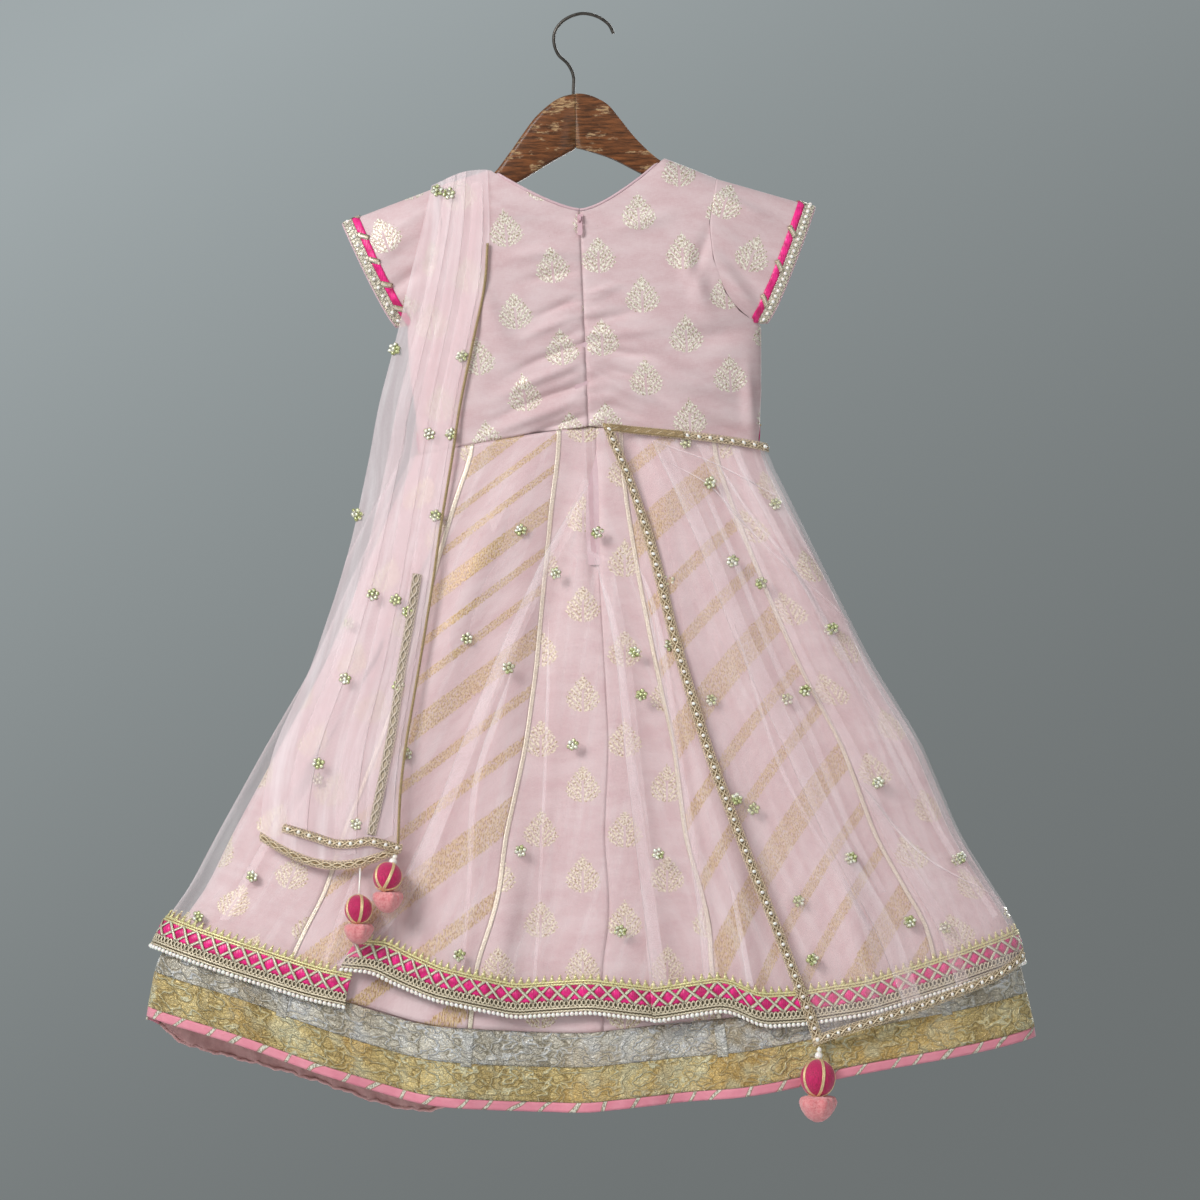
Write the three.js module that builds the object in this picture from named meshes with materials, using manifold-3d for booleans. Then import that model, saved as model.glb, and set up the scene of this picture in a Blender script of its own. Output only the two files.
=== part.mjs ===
// Anarkali gown with a net over-skirt and a sewn-on net dupatta, on a child's wooden hanger.
// Millimetres, +Z up. The origin is the inside top of the hanger's hook. The back of the gown, with
// the zip, faces -Y, and +X is to the right of someone looking at that back.
import * as THREE from 'three';
import * as BufferGeometryUtils from 'three/addons/utils/BufferGeometryUtils.js';
import Module from 'manifold-3d';

const wasm = await Module();
wasm.setup();

// ---------------------------------------------------------------- driving dimensions
const SEAM = 0.3; // clear gap between two sewn pieces
const BROCADE = 1.6; // wall of the lined brocade
const NET = 1.0; // wall of the net, trims and laces
const LAYER = SEAM + (BROCADE + NET) / 2; // a trim's mid-surface above the brocade's
const NET_LAYER = SEAM + NET; // one net or lace above another

const WAIST_Z = -390; // mean height of the waist seam
const HEM_Z = -1011; // lowest point of the hem, at the centre back
const UNDERARM_Z = -286;
const ZIP_TOP = { x: -1, z: -184 };
const ZIP_END = { x: 12, z: -498 };

const FACING_HEIGHT = 9;
const GOLD_BAND_HEIGHT = 32;
const SILVER_BAND_HEIGHT = 31;
const NET_LACE_HEIGHT = 36;
const TAPE_WIDTH = 4;

// Bodice and armholes by height: the edge on each side and half the depth from back to front.
const BODICE = [
  { z: -151, left: -134, right: 124, depth: 20 },
  { z: -192, left: -127, right: 117.5, depth: 22 },
  { z: -225, left: -130, right: 121, depth: 23 },
  { z: -256, left: -140, right: 132, depth: 24 },
  { z: -273, left: -149, right: 145, depth: 24 },
  { z: UNDERARM_Z, left: -159, right: 165, depth: 24 },
  { z: -326, left: -157, right: 165, depth: 23.5 },
  { z: -370, left: -151, right: 163.5, depth: 22 },
  { z: -397, left: -148, right: 162, depth: 21 },
  { z: -420, left: -146, right: 161, depth: 21 },
];

// Top line over the shoulders and along the folded top of each sleeve.
const TOP_LINE = [
  { x: -219, z: -192 },
  { x: -134, z: -159 },
  { x: -84, z: -143 },
  { x: 77, z: -132.5 },
  { x: 124, z: -151 },
  { x: 215, z: -177 },
];
const NECK_LEFT = TOP_LINE[2];
const NECK_RIGHT = TOP_LINE[3];
const SHOULDER_ROUND = 37; // distance below the top line at which the cloth reaches its full depth

// Cuff edge of each sleeve: a quadratic curve from under the arm to the tip of the folded top.
const CUFFS = {
  left: { under: [-169.5, -287], bend: [-181, -277], tip: [-219, -192.2] },
  right: { under: [171, -283], bend: [182, -272], tip: [215, -177.2] },
};
const ARMHOLES = {
  left: { underZ: -285, tipZ: -159.7 },
  right: { underZ: -283, tipZ: -151.5 },
};
const ARMHOLE_GAP = 1; // the eased cap of the sleeve stands this far off the armhole

// Skirt by height: brocade and net edges on each side, and half of each one's depth.
const SKIRT = [
  { z: -375, clothLeft: -148, clothRight: 162, clothDepth: 21, netLeft: -151, netRight: 165, netDepth: 24 },
  { z: -405, clothLeft: -150, clothRight: 164, clothDepth: 22, netLeft: -154, netRight: 168, netDepth: 26 },
  { z: -450, clothLeft: -172, clothRight: 184, clothDepth: 26, netLeft: -178, netRight: 191, netDepth: 31 },
  { z: -530, clothLeft: -207, clothRight: 224, clothDepth: 33, netLeft: -216, netRight: 231, netDepth: 39 },
  { z: -600, clothLeft: -236, clothRight: 260, clothDepth: 39, netLeft: -247, netRight: 267, netDepth: 46 },
  { z: -670, clothLeft: -275, clothRight: 304, clothDepth: 45, netLeft: -288, netRight: 311, netDepth: 52 },
  { z: -755, clothLeft: -321, clothRight: 340, clothDepth: 52, netLeft: -335, netRight: 347, netDepth: 59 },
  { z: -805, clothLeft: -345, clothRight: 372, clothDepth: 56, netLeft: -361, netRight: 379, netDepth: 63 },
  { z: -835, clothLeft: -368, clothRight: 393, clothDepth: 58, netLeft: -384, netRight: 399, netDepth: 65 },
  { z: -870, clothLeft: -389, clothRight: 402, clothDepth: 61, netLeft: -401, netRight: 407, netDepth: 68 },
  { z: -940, clothLeft: -402, clothRight: 418, clothDepth: 65, netLeft: -407, netRight: 422, netDepth: 72 },
  { z: -1020, clothLeft: -404, clothRight: 419, clothDepth: 66, netLeft: -409, netRight: 423, netDepth: 73 },
];
const WAIST_SQUARENESS = 4; // section exponent: 4 is a flat box with round ends, 2 an ellipse
const HEM_SQUARENESS = 2.3;

// Soft folds that run up from the hem: place across the width (-1 left seam, 1 right seam), half width
// and how far each stands out (a trough is negative).
const BACK_FOLDS = [
  { at: -0.84, width: 0.12, out: 5 },
  { at: -0.575, width: 0.1, out: 9 },
  { at: -0.3, width: 0.1, out: 8 },
  { at: -0.12, width: 0.09, out: -6 },
  { at: 0.06, width: 0.1, out: 6 },
  { at: 0.23, width: 0.08, out: -7 },
  { at: 0.36, width: 0.09, out: 8 },
  { at: 0.6, width: 0.12, out: 6 },
  { at: 0.82, width: 0.1, out: 5 },
];
const FRONT_FOLDS = [
  { at: -0.78, width: 0.12, out: 6 },
  { at: -0.5, width: 0.12, out: -5 },
  { at: -0.24, width: 0.11, out: 8 },
  { at: 0.02, width: 0.1, out: -6 },
  { at: 0.3, width: 0.12, out: 9 },
  { at: 0.52, width: 0.1, out: -5 },
  { at: 0.76, width: 0.12, out: 7 },
];

// Gore seams, as places across the width at the waist and at the hem.
const BACK_KALIS = [
  { name: 'outer_left', from: [-1, -1], to: [-0.68, -0.69], columns: 6 },
  { name: 'stripe_left', from: [-0.68, -0.69], to: [-0.175, -0.28], columns: 5 },
  { name: 'centre_left', from: [-0.175, -0.28], to: [0.045, 0.03], columns: 4 },
  { name: 'centre_right', from: [0.045, 0.03], to: [0.19, 0.31], columns: 4 },
  { name: 'stripe_right', from: [0.19, 0.31], to: [0.735, 0.82], columns: 6 },
  { name: 'outer_right', from: [0.735, 0.82], to: [1, 1], columns: 5 },
];
const FRONT_KALIS = [
  { name: 'outer_left', from: [-1, -1], to: [-0.69, -0.7], columns: 5 },
  { name: 'stripe_left', from: [-0.69, -0.7], to: [-0.2, -0.28], columns: 5 },
  { name: 'centre', from: [-0.2, -0.28], to: [0.2, 0.28], columns: 6 },
  { name: 'stripe_right', from: [0.2, 0.28], to: [0.7, 0.71], columns: 5 },
  { name: 'outer_right', from: [0.7, 0.71], to: [1, 1], columns: 5 },
];

// Edge of the big fold where the centre of the net laps over its left part.
const FOLD_LINE = [
  { z: -428, x: 6 },
  { z: -495, x: -33 },
  { z: -587, x: -75 },
  { z: -663, x: -106 },
  { z: -732, x: -133 },
  { z: -804, x: -168 },
  { z: -873, x: -224 },
  { z: -915, x: -228 },
];
const FOLD_LAP = 14; // how far one part of the net runs on under the next
const FOLD_RISE = 2.8; // how far the lapping part stands off the one below
// Edge where the right part of the net laps over the centre, running down from the end of the zip.
const LAP_LINE = [
  { z: -375, x: 9.5 },
  { z: -498, x: 13 },
  { z: -584, x: 31 },
  { z: -689, x: 41 },
  { z: -813, x: 55 },
  { z: -930, x: 65 },
];
// Hem of the net, by place across the width.
const NET_HEM = {
  left: [{ s: -1, z: -857 }, { s: -0.757, z: -886 }, { s: -0.625, z: -901 }, { s: -0.5, z: -912 }],
  centre: [
    { s: -0.57, z: -874 }, { s: -0.49, z: -877 }, { s: -0.42, z: -890 }, { s: -0.335, z: -906 },
    { s: -0.16, z: -923 }, { s: 0.01, z: -918 }, { s: 0.16, z: -926 },
  ],
  right: [
    { s: 0.15, z: -926 }, { s: 0.31, z: -913 }, { s: 0.385, z: -926 }, { s: 0.48, z: -924 },
    { s: 0.63, z: -915 }, { s: 0.84, z: -891 }, { s: 1, z: -872 },
  ],
  front: [{ s: -1, z: -857 }, { s: -0.5, z: -904 }, { s: 0, z: -920 }, { s: 0.5, z: -911 }, { s: 1, z: -872 }],
};
const PLEAT = { at: 0.235, width: 0.055, out: 7 }; // small raised pleat just right of the lap

// Left drape of the dupatta, from the shoulder: its inner and outer edges by height.
const DRAPE_LEFT = [
  { z: -142, inner: -86, outer: -134 },
  { z: -190, inner: -83, outer: -143 },
  { z: -250, inner: -86, outer: -158 },
  { z: -290, inner: -95, outer: -167 },
  { z: -362, inner: -110, outer: -186 },
  { z: -405, inner: -116, outer: -194 },
  { z: -472, inner: -127, outer: -208 },
  { z: -525, inner: -134, outer: -222 },
  { z: -600, inner: -146, outer: -247 },
  { z: -670, inner: -158, outer: -280 },
  { z: -713, inner: -163, outer: -290 },
  { z: -800, inner: -166, outer: -295 },
];
const DRAPE_LEFT_HEM = { inner: -768, outer: -757, sag: -20 };
// Right drape: its free diagonal edge by height, from the centre of the waist to the corner.
const DRAPE_RIGHT_EDGE = [
  { z: -377, x: 17 },
  { z: -426, x: 39 },
  { z: -496, x: 62 },
  { z: -575, x: 81 },
  { z: -679, x: 112 },
  { z: -764, x: 143 },
  { z: -854, x: 179 },
  { z: -943, x: 213 },
];
const DRAPE_RIGHT_TOP = { z: -377, fall: 19 };
const DRAPE_RIGHT_HEM = { corner: -943, rise: 76 };
const DRAPE_LACE = 9; // width of the dupatta's lace
const DRAPE_LACE_LAYER = 2; // its mid-surface above the dupatta's
const DRAPE_RISE = 3.2; // the right drape above the net under it

// Hanger
const WOOD_THICKNESS = 12;
const WOOD_ROUND = 4.5;
const WIRE_RADIUS = 1.5;
const STEM_X = -7;
const STEM_HOLE_DEPTH = 22;

// ---------------------------------------------------------------- materials
const finish = (color, roughness, metalness = 0) => new THREE.MeshStandardMaterial({
  color, roughness, metalness, side: THREE.DoubleSide,
});
const FINISHES = {
  brocade: finish(0xe0bcc4, 0.55),
  stripe: finish(0xdcbfae, 0.5),
  net: finish(0xe8dade, 0.8),
  silver: finish(0xb4ae9c, 0.4, 0.5),
  gold: finish(0xb89a5c, 0.4, 0.5),
  facing: finish(0xe88c9c, 0.6),
  lining: finish(0xc9929a, 0.8),
  magenta: finish(0xd61c6c, 0.5),
  lace: finish(0xa08a5e, 0.5, 0.3),
  pompom: finish(0xf08e92, 0.9),
  wood: finish(0x5a3219, 0.5),
  wire: finish(0x4a4540, 0.35, 0.9),
  piping: finish(0xe6c3c8, 0.5),
};

// ---------------------------------------------------------------- reading the tables
const mix = (a, b, t) => a + (b - a) * t;
const clamp01 = (t) => Math.min(1, Math.max(0, t));
const smooth = (t) => clamp01(t) ** 2 * (3 - 2 * clamp01(t));

// Straight-line reading of one column of a table whose rows run in order of another column.
function read(table, along, column, at) {
  const down = table[0][along] > table[table.length - 1][along];
  const ahead = (row) => (down ? row[along] <= at : row[along] >= at);
  const next = table.findIndex(ahead);
  if (next === 0) return table[0][column];
  if (next < 0) return table[table.length - 1][column];
  const a = table[next - 1];
  const b = table[next];
  return mix(a[column], b[column], (at - a[along]) / (b[along] - a[along]));
}

// ---------------------------------------------------------------- the cloth's surfaces
// Round section: 1 in the middle (s = 0), falling to 0 at the side seams (s = -1 and 1).
const roundness = (s, squareness) => Math.sqrt(Math.max(0, 1 - Math.abs(s) ** squareness));

// How far the skirt's folds stand out at a place across the width and a height.
function foldsOut(folds, s, z) {
  const growth = clamp01((WAIST_Z - z) / (WAIST_Z - HEM_Z)) ** 1.3;
  const bump = (fold) => fold.out * Math.exp(-(((s - fold.at) / fold.width) ** 2));
  return growth * folds.reduce((sum, fold) => sum + bump(fold), 0);
}

// Point of the skirt's 'cloth' or 'net' layer. phi runs from 0 at the left side seam to PI at the right
// one; side is 1 on the back and -1 on the front.
function skirtPoint(layer, side, phi, z) {
  const left = read(SKIRT, 'z', `${layer}Left`, z);
  const right = read(SKIRT, 'z', `${layer}Right`, z);
  const s = -Math.cos(phi);
  const fall = clamp01((-375 - z) / 450);
  const round = roundness(s, mix(WAIST_SQUARENESS, HEM_SQUARENESS, fall));
  const folds = side > 0 ? BACK_FOLDS : FRONT_FOLDS;
  const out = (read(SKIRT, 'z', `${layer}Depth`, z) + foldsOut(folds, s, z)) * round;
  return new THREE.Vector3(mix(left, right, (s + 1) / 2), -side * (SEAM / 2 + out), z);
}

// phi of the skirt's layer at the place x, at height z.
function skirtPhi(layer, x, z) {
  const left = read(SKIRT, 'z', `${layer}Left`, z);
  const right = read(SKIRT, 'z', `${layer}Right`, z);
  return Math.acos(THREE.MathUtils.clamp(1 - (2 * (x - left)) / (right - left), -1, 1));
}

// Distance in from the nearest side edge, taken round the underarm point above it.
function sideInset(x, z) {
  const low = Math.min(z, UNDERARM_Z);
  const left = x - read(BODICE, 'z', 'left', low);
  const right = read(BODICE, 'z', 'right', low) - x;
  const rise = Math.max(0, z - UNDERARM_Z);
  return Math.min(Math.hypot(left, rise), Math.hypot(right, rise));
}

// Half depth of the bodice and sleeves at x and z, leaving out the seam gap.
function bodyDepth(x, z) {
  const below = clamp01((read(TOP_LINE, 'x', 'z', x) - z) / SHOULDER_ROUND);
  const halfWidth = 156;
  const s = 1 - clamp01(sideInset(x, z) / halfWidth);
  const towardsCuff = smooth((Math.abs(x + 4) - 125) / 95);
  const depth = mix(read(BODICE, 'z', 'depth', z), 14, towardsCuff);
  return depth * Math.sqrt(1 - (1 - below) ** 2) * roundness(s, WAIST_SQUARENESS);
}

const bodyPoint = (side, x, z) => new THREE.Vector3(x, -side * (SEAM + bodyDepth(x, z)), z);

// ---------------------------------------------------------------- building cloth walls
// Normal of a surface(u, v) by small steps, pointing away from the garment's middle plane.
function normalOf(surface, u, v) {
  const step = 0.004;
  const alongU = surface(Math.min(1, u + step), v).sub(surface(Math.max(0, u - step), v));
  const alongV = surface(u, Math.min(1, v + step)).sub(surface(u, Math.max(0, v - step)));
  return alongU.cross(alongV).normalize();
}

// The same surface moved out by a distance that may change over it. facing is 1 where u runs left to
// right on the back, and -1 on the front.
function movedOut(surface, facing, distance) {
  const far = typeof distance === 'function' ? distance : () => distance;
  return (u, v) => surface(u, v).addScaledVector(normalOf(surface, u, v), -facing * far(u, v));
}

// A closed wall of even thickness round a surface(u, v), u and v from 0 to 1.
function wall(surface, thickness, columns, rows, rowPlace = (t) => t) {
  const positions = [];
  const index = [];
  const across = columns + 1;
  const layerSize = across * (rows + 1);
  for (const half of [thickness / 2, -thickness / 2]) {
    for (let row = 0; row <= rows; row += 1) {
      for (let column = 0; column <= columns; column += 1) {
        const u = column / columns;
        const v = rowPlace(row / rows);
        const point = surface(u, v).addScaledVector(normalOf(surface, u, v), half);
        positions.push(point.x, point.y, point.z);
      }
    }
  }
  const quad = (a, b, c, d) => index.push(a, b, c, a, c, d);
  const at = (layer, column, row) => layer * layerSize + row * across + column;
  for (let row = 0; row < rows; row += 1) {
    for (let column = 0; column < columns; column += 1) {
      quad(at(0, column, row), at(0, column + 1, row), at(0, column + 1, row + 1), at(0, column, row + 1));
      quad(at(1, column, row), at(1, column, row + 1), at(1, column + 1, row + 1), at(1, column + 1, row));
    }
  }
  for (let column = 0; column < columns; column += 1) {
    quad(at(0, column, 0), at(1, column, 0), at(1, column + 1, 0), at(0, column + 1, 0));
    quad(at(0, column, rows), at(0, column + 1, rows), at(1, column + 1, rows), at(1, column, rows));
  }
  for (let row = 0; row < rows; row += 1) {
    quad(at(0, 0, row), at(0, 0, row + 1), at(1, 0, row + 1), at(1, 0, row));
    quad(at(0, columns, row), at(1, columns, row), at(1, columns, row + 1), at(0, columns, row + 1));
  }
  const geometry = new THREE.BufferGeometry();
  geometry.setAttribute('position', new THREE.Float32BufferAttribute(positions, 3));
  geometry.setIndex(signedVolume(positions, index) < 0 ? index.reverse() : index);
  return geometry;
}

function signedVolume(positions, index) {
  const corner = (i) => new THREE.Vector3().fromArray(positions, index[i] * 3);
  let sum = 0;
  for (let i = 0; i < index.length; i += 3) sum += corner(i).dot(corner(i + 1).cross(corner(i + 2)));
  return sum / 6;
}

// ---------------------------------------------------------------- solids
function toManifold(geometry) {
  const bare = geometry.clone();
  for (const name of Object.keys(bare.attributes)) if (name !== 'position') bare.deleteAttribute(name);
  const merged = BufferGeometryUtils.mergeVertices(bare, 1e-4);
  return new wasm.Manifold(new wasm.Mesh({
    numProp: 3,
    vertProperties: new Float32Array(merged.attributes.position.array),
    triVerts: new Uint32Array(merged.index.array),
  }));
}

function fromManifold(solid) {
  const mesh = solid.getMesh();
  const geometry = new THREE.BufferGeometry();
  geometry.setAttribute('position', new THREE.BufferAttribute(new Float32Array(mesh.vertProperties), 3));
  geometry.setIndex(new THREE.BufferAttribute(new Uint32Array(mesh.triVerts), 1));
  return geometry;
}

function roundBar(path, radius, sides, steps) {
  const section = new THREE.Shape();
  section.absarc(0, 0, radius, 0, 2 * Math.PI);
  return new THREE.ExtrudeGeometry(section, { extrudePath: path, steps, curveSegments: sides / 2 });
}

const vec = (x, y, z) => new THREE.Vector3(x, y, z);
const gown = new THREE.Group();

function addNode(name, geometry, material) {
  const mesh = new THREE.Mesh(geometry, material);
  mesh.name = name;
  gown.add(mesh);
  return mesh;
}

// ---------------------------------------------------------------- hanger
function addHanger() {
  const top = [
    [13, -76], [25, -83], [36, -96], [52, -115.5], [74, -134.8], [100, -144.2], [124, -153.8], [139, -158.4],
  ];
  const under = [
    [138, -181], [100, -165], [60, -148], [28, -132], [-3, -122], [-30, -137], [-60, -155], [-104, -175],
    [-142, -192],
  ];
  const back = [
    [-149, -169], [-134, -162], [-103, -152.3], [-83, -147.7], [-66, -127], [-54, -110], [-42, -94],
    [-27.6, -81],
  ];
  const points = (rows) => rows.map(([x, z]) => new THREE.Vector2(x, z));
  const outline = new THREE.Shape();
  outline.moveTo(-7, -73);
  outline.splineThru(points(top));
  outline.quadraticCurveTo(154, -166, 138, -181);
  outline.splineThru(points(under.slice(1)));
  outline.quadraticCurveTo(-162, -184, -149, -169);
  outline.splineThru(points([...back.slice(1), [-7, -73]]));
  const board = new THREE.ExtrudeGeometry(outline, {
    depth: WOOD_THICKNESS - 2 * WOOD_ROUND,
    bevelThickness: WOOD_ROUND,
    bevelSize: WOOD_ROUND,
    bevelOffset: -WOOD_ROUND,
    bevelSegments: 2,
    curveSegments: 2,
  });
  board.rotateX(Math.PI / 2);
  board.translate(0, WOOD_THICKNESS / 2 - WOOD_ROUND, 0);
  const hole = new THREE.CylinderGeometry(WIRE_RADIUS + SEAM, WIRE_RADIUS + SEAM, 2 * STEM_HOLE_DEPTH, 16);
  hole.rotateX(Math.PI / 2);
  hole.translate(STEM_X, 0, -73);
  addNode('hanger_wood', fromManifold(toManifold(board).subtract(toManifold(hole))), FINISHES.wood);

  const wire = new THREE.CatmullRomCurve3([
    vec(30, 0, -17), vec(25, 0, -8), vec(14, 0, -0.8), vec(0, 0, WIRE_RADIUS), vec(-14, 0, -3.5),
    vec(-23, 0, -13), vec(-25, 0, -24), vec(-21, 0, -36), vec(-12, 0, -45), vec(STEM_X, 0, -56), vec(STEM_X, 0, -70),
    vec(STEM_X, 0, -73 - STEM_HOLE_DEPTH + 0.5),
  ], false, 'centripetal');
  addNode('hanger_hook', roundBar(wire, WIRE_RADIUS, 8, 36), FINISHES.wire);
}

// ---------------------------------------------------------------- bodice
const waistZ = (s) => -379 - (s < 0 ? 26 : 18) * Math.abs(s) ** 1.2;
const zipX = (z) => mix(ZIP_TOP.x, ZIP_END.x, (ZIP_TOP.z - z) / (ZIP_TOP.z - ZIP_END.z));

// Upper edge of the bodice at x: the neckline between the neck points, the shoulder line beyond them.
function bodiceTop(side, x) {
  const shoulder = read(TOP_LINE, 'x', 'z', x);
  const lowest = side > 0 ? -182 : -226;
  const neckPoint = x < ZIP_TOP.x ? NECK_LEFT : NECK_RIGHT;
  const part = (x - ZIP_TOP.x) / (neckPoint.x - ZIP_TOP.x);
  if (part >= 1) return shoulder;
  return mix(lowest, neckPoint.z, part ** (side > 0 ? 1.5 : 2));
}

const bodicePhi = (x, z) => {
  const left = read(BODICE, 'z', 'left', z);
  const right = read(BODICE, 'z', 'right', z);
  return Math.acos(THREE.MathUtils.clamp(1 - (2 * (x - left)) / (right - left), -1, 1));
};

// Bodice surface between two boundaries, each a function of z that gives phi.
function bodiceSurface(side, from, to) {
  return (u, v) => {
    const topPhi = mix(from(-151), to(-151), u);
    const topX = mix(BODICE[0].left, BODICE[0].right, (1 - Math.cos(topPhi)) / 2);
    const waistPhi = mix(from(WAIST_Z), to(WAIST_Z), u);
    const z = mix(bodiceTop(side, topX), waistZ(-Math.cos(waistPhi)) + SEAM / 2, v);
    const left = read(BODICE, 'z', 'left', z);
    const right = read(BODICE, 'z', 'right', z);
    const x = mix(left, right, (1 - Math.cos(mix(from(z), to(z), u))) / 2);
    return bodyPoint(side, x, z);
  };
}

const nearTop = (t) => t ** 2.2;

// Places of the bodice's columns across each piece: they crowd where the neckline turns over the hanger.
const BACK_LEFT_COLUMNS = [0, 0.2, 0.4, 0.592, 0.617, 0.65, 0.72, 0.81, 0.9, 1];
const BACK_RIGHT_COLUMNS = [0, 0.1, 0.2, 0.29, 0.371, 0.403, 0.43, 0.62, 0.82, 1];
const FRONT_COLUMNS = [
  0, 0.1, 0.2, 0.29, 0.303, 0.317, 0.36, 0.42, 0.5, 0.59, 0.65, 0.691, 0.707, 0.7194, 0.81, 0.905, 1,
];
const onColumns = (places, surface) => (u, v) => {
  const column = u * (places.length - 1);
  const before = Math.min(places.length - 2, Math.floor(column));
  return surface(mix(places[before], places[before + 1], column - before), v);
};
const leftEdge = () => 0;
const rightEdge = () => Math.PI;
const zipEdge = (shift) => (z) => bodicePhi(zipX(z) + shift, z);
const backLeft = onColumns(BACK_LEFT_COLUMNS, bodiceSurface(1, leftEdge, zipEdge(-SEAM / 2)));
const backRight = onColumns(BACK_RIGHT_COLUMNS, bodiceSurface(1, zipEdge(SEAM / 2), rightEdge));
const bodiceFront = onColumns(FRONT_COLUMNS, bodiceSurface(-1, leftEdge, rightEdge));
const backSteps = BACK_LEFT_COLUMNS.length - 1;
const frontSteps = FRONT_COLUMNS.length - 1;

function addBodice() {
  addNode('bodice_back_left', wall(backLeft, BROCADE, backSteps, 9, nearTop), FINISHES.brocade);
  addNode('bodice_back_right', wall(backRight, BROCADE, backSteps, 9, nearTop), FINISHES.brocade);
  addNode('bodice_front', wall(bodiceFront, BROCADE, frontSteps, 9, nearTop), FINISHES.brocade);

  const bandStart = 0.915;
  const band = movedOut((u, v) => bodiceFront(u, mix(bandStart, 0.995, v)), -1, LAYER);
  addNode('waist_band_front', wall(band, NET, frontSteps, 1), FINISHES.magenta);
}

// Piping round the neckline: from the zip over the left shoulder, across the front and back to the zip.
function addNeckPiping() {
  const radius = 1.2;
  const stand = radius + 3 * SEAM;
  const overNeck = 1; // it rides a little higher where it crosses the shoulder seam
  const edge = [];
  const columns = (surface, count, from, to) => {
    const step = from < to ? 1 : -1;
    for (let k = from; k !== to + step; k += step) edge.push(surface(k / count, 0));
  };
  columns(backLeft, backSteps, backSteps, 4);
  edge.push(vec(NECK_LEFT.x + overNeck, 0, NECK_LEFT.z + overNeck));
  columns(bodiceFront, frontSteps, 4, 12);
  edge.push(vec(NECK_RIGHT.x - overNeck, 0, NECK_RIGHT.z + overNeck));
  columns(backRight, backSteps, 5, 0);
  // Each point moves off the edge, square to it in the garment's plane.
  const path = new THREE.CurvePath();
  const lifted = edge.map((point, i) => {
    const along = edge[Math.min(edge.length - 1, i + 1)].clone().sub(edge[Math.max(0, i - 1)]);
    const slope = Math.abs(along.x) > 1 ? along.z / along.x : 0;
    const off = vec(-slope, 0, 1).normalize().multiplyScalar(stand);
    return point.clone().add(off);
  });
  for (let i = 1; i < lifted.length; i += 1) path.add(new THREE.LineCurve3(lifted[i - 1], lifted[i]));
  addNode('neck_piping', roundBar(path, radius, 6, 60), FINISHES.piping);
}

// ---------------------------------------------------------------- sleeves
function cuffAt({ under, bend, tip }, t) {
  const bezier = (axis) => mix(mix(under[axis], bend[axis], t), mix(bend[axis], tip[axis], t), t);
  return [bezier(0), bezier(1)];
}

function armholeAt(which, t) {
  const z = mix(ARMHOLES[which].underZ, ARMHOLES[which].tipZ, t);
  return [read(BODICE, 'z', which, z) + (which === 'right' ? ARMHOLE_GAP : -ARMHOLE_GAP), z];
}

// Sleeve surface: u runs round from the back underarm over the folded top to the front underarm,
// v from the armhole to the cuff.
function sleeveSurface(which) {
  return (u, v) => {
    const round = Math.cos((u - 0.5) * Math.PI);
    const [ax, az] = armholeAt(which, round);
    const [cx, cz] = cuffAt(CUFFS[which], round);
    const side = u < 0.5 ? 1 : -1;
    const x = mix(ax, cx, v);
    const z = mix(az, cz, v);
    const depth = bodyDepth(x, Math.min(z, read(TOP_LINE, 'x', 'z', x)));
    return vec(x, u === 0.5 ? 0 : -side * depth, z);
  };
}

function addSleeve(which) {
  const facing = which === 'right' ? 1 : -1;
  const seamShare = 0.012;
  const sleeve = sleeveSurface(which);
  const stretch = (from, to) => (u, v) => sleeve(u, mix(from, to, v));
  const name = `sleeve_${which}`;
  const ribbonAt = { from: 0.84, to: 0.9 };
  const laceAt = { from: 0.912, to: 1 };
  const sides = 14;
  addNode(name, wall(stretch(seamShare, laceAt.from), BROCADE, sides, 3), FINISHES.brocade);
  const ribbon = movedOut(stretch(ribbonAt.from, ribbonAt.to), facing, LAYER + SEAM);
  addNode(`${name}_ribbon`, wall(ribbon, NET, sides, 1), FINISHES.magenta);
  addNode(`${name}_lace`, wall(stretch(laceAt.from + seamShare, laceAt.to), NET, sides, 1), FINISHES.lace);
}

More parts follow.
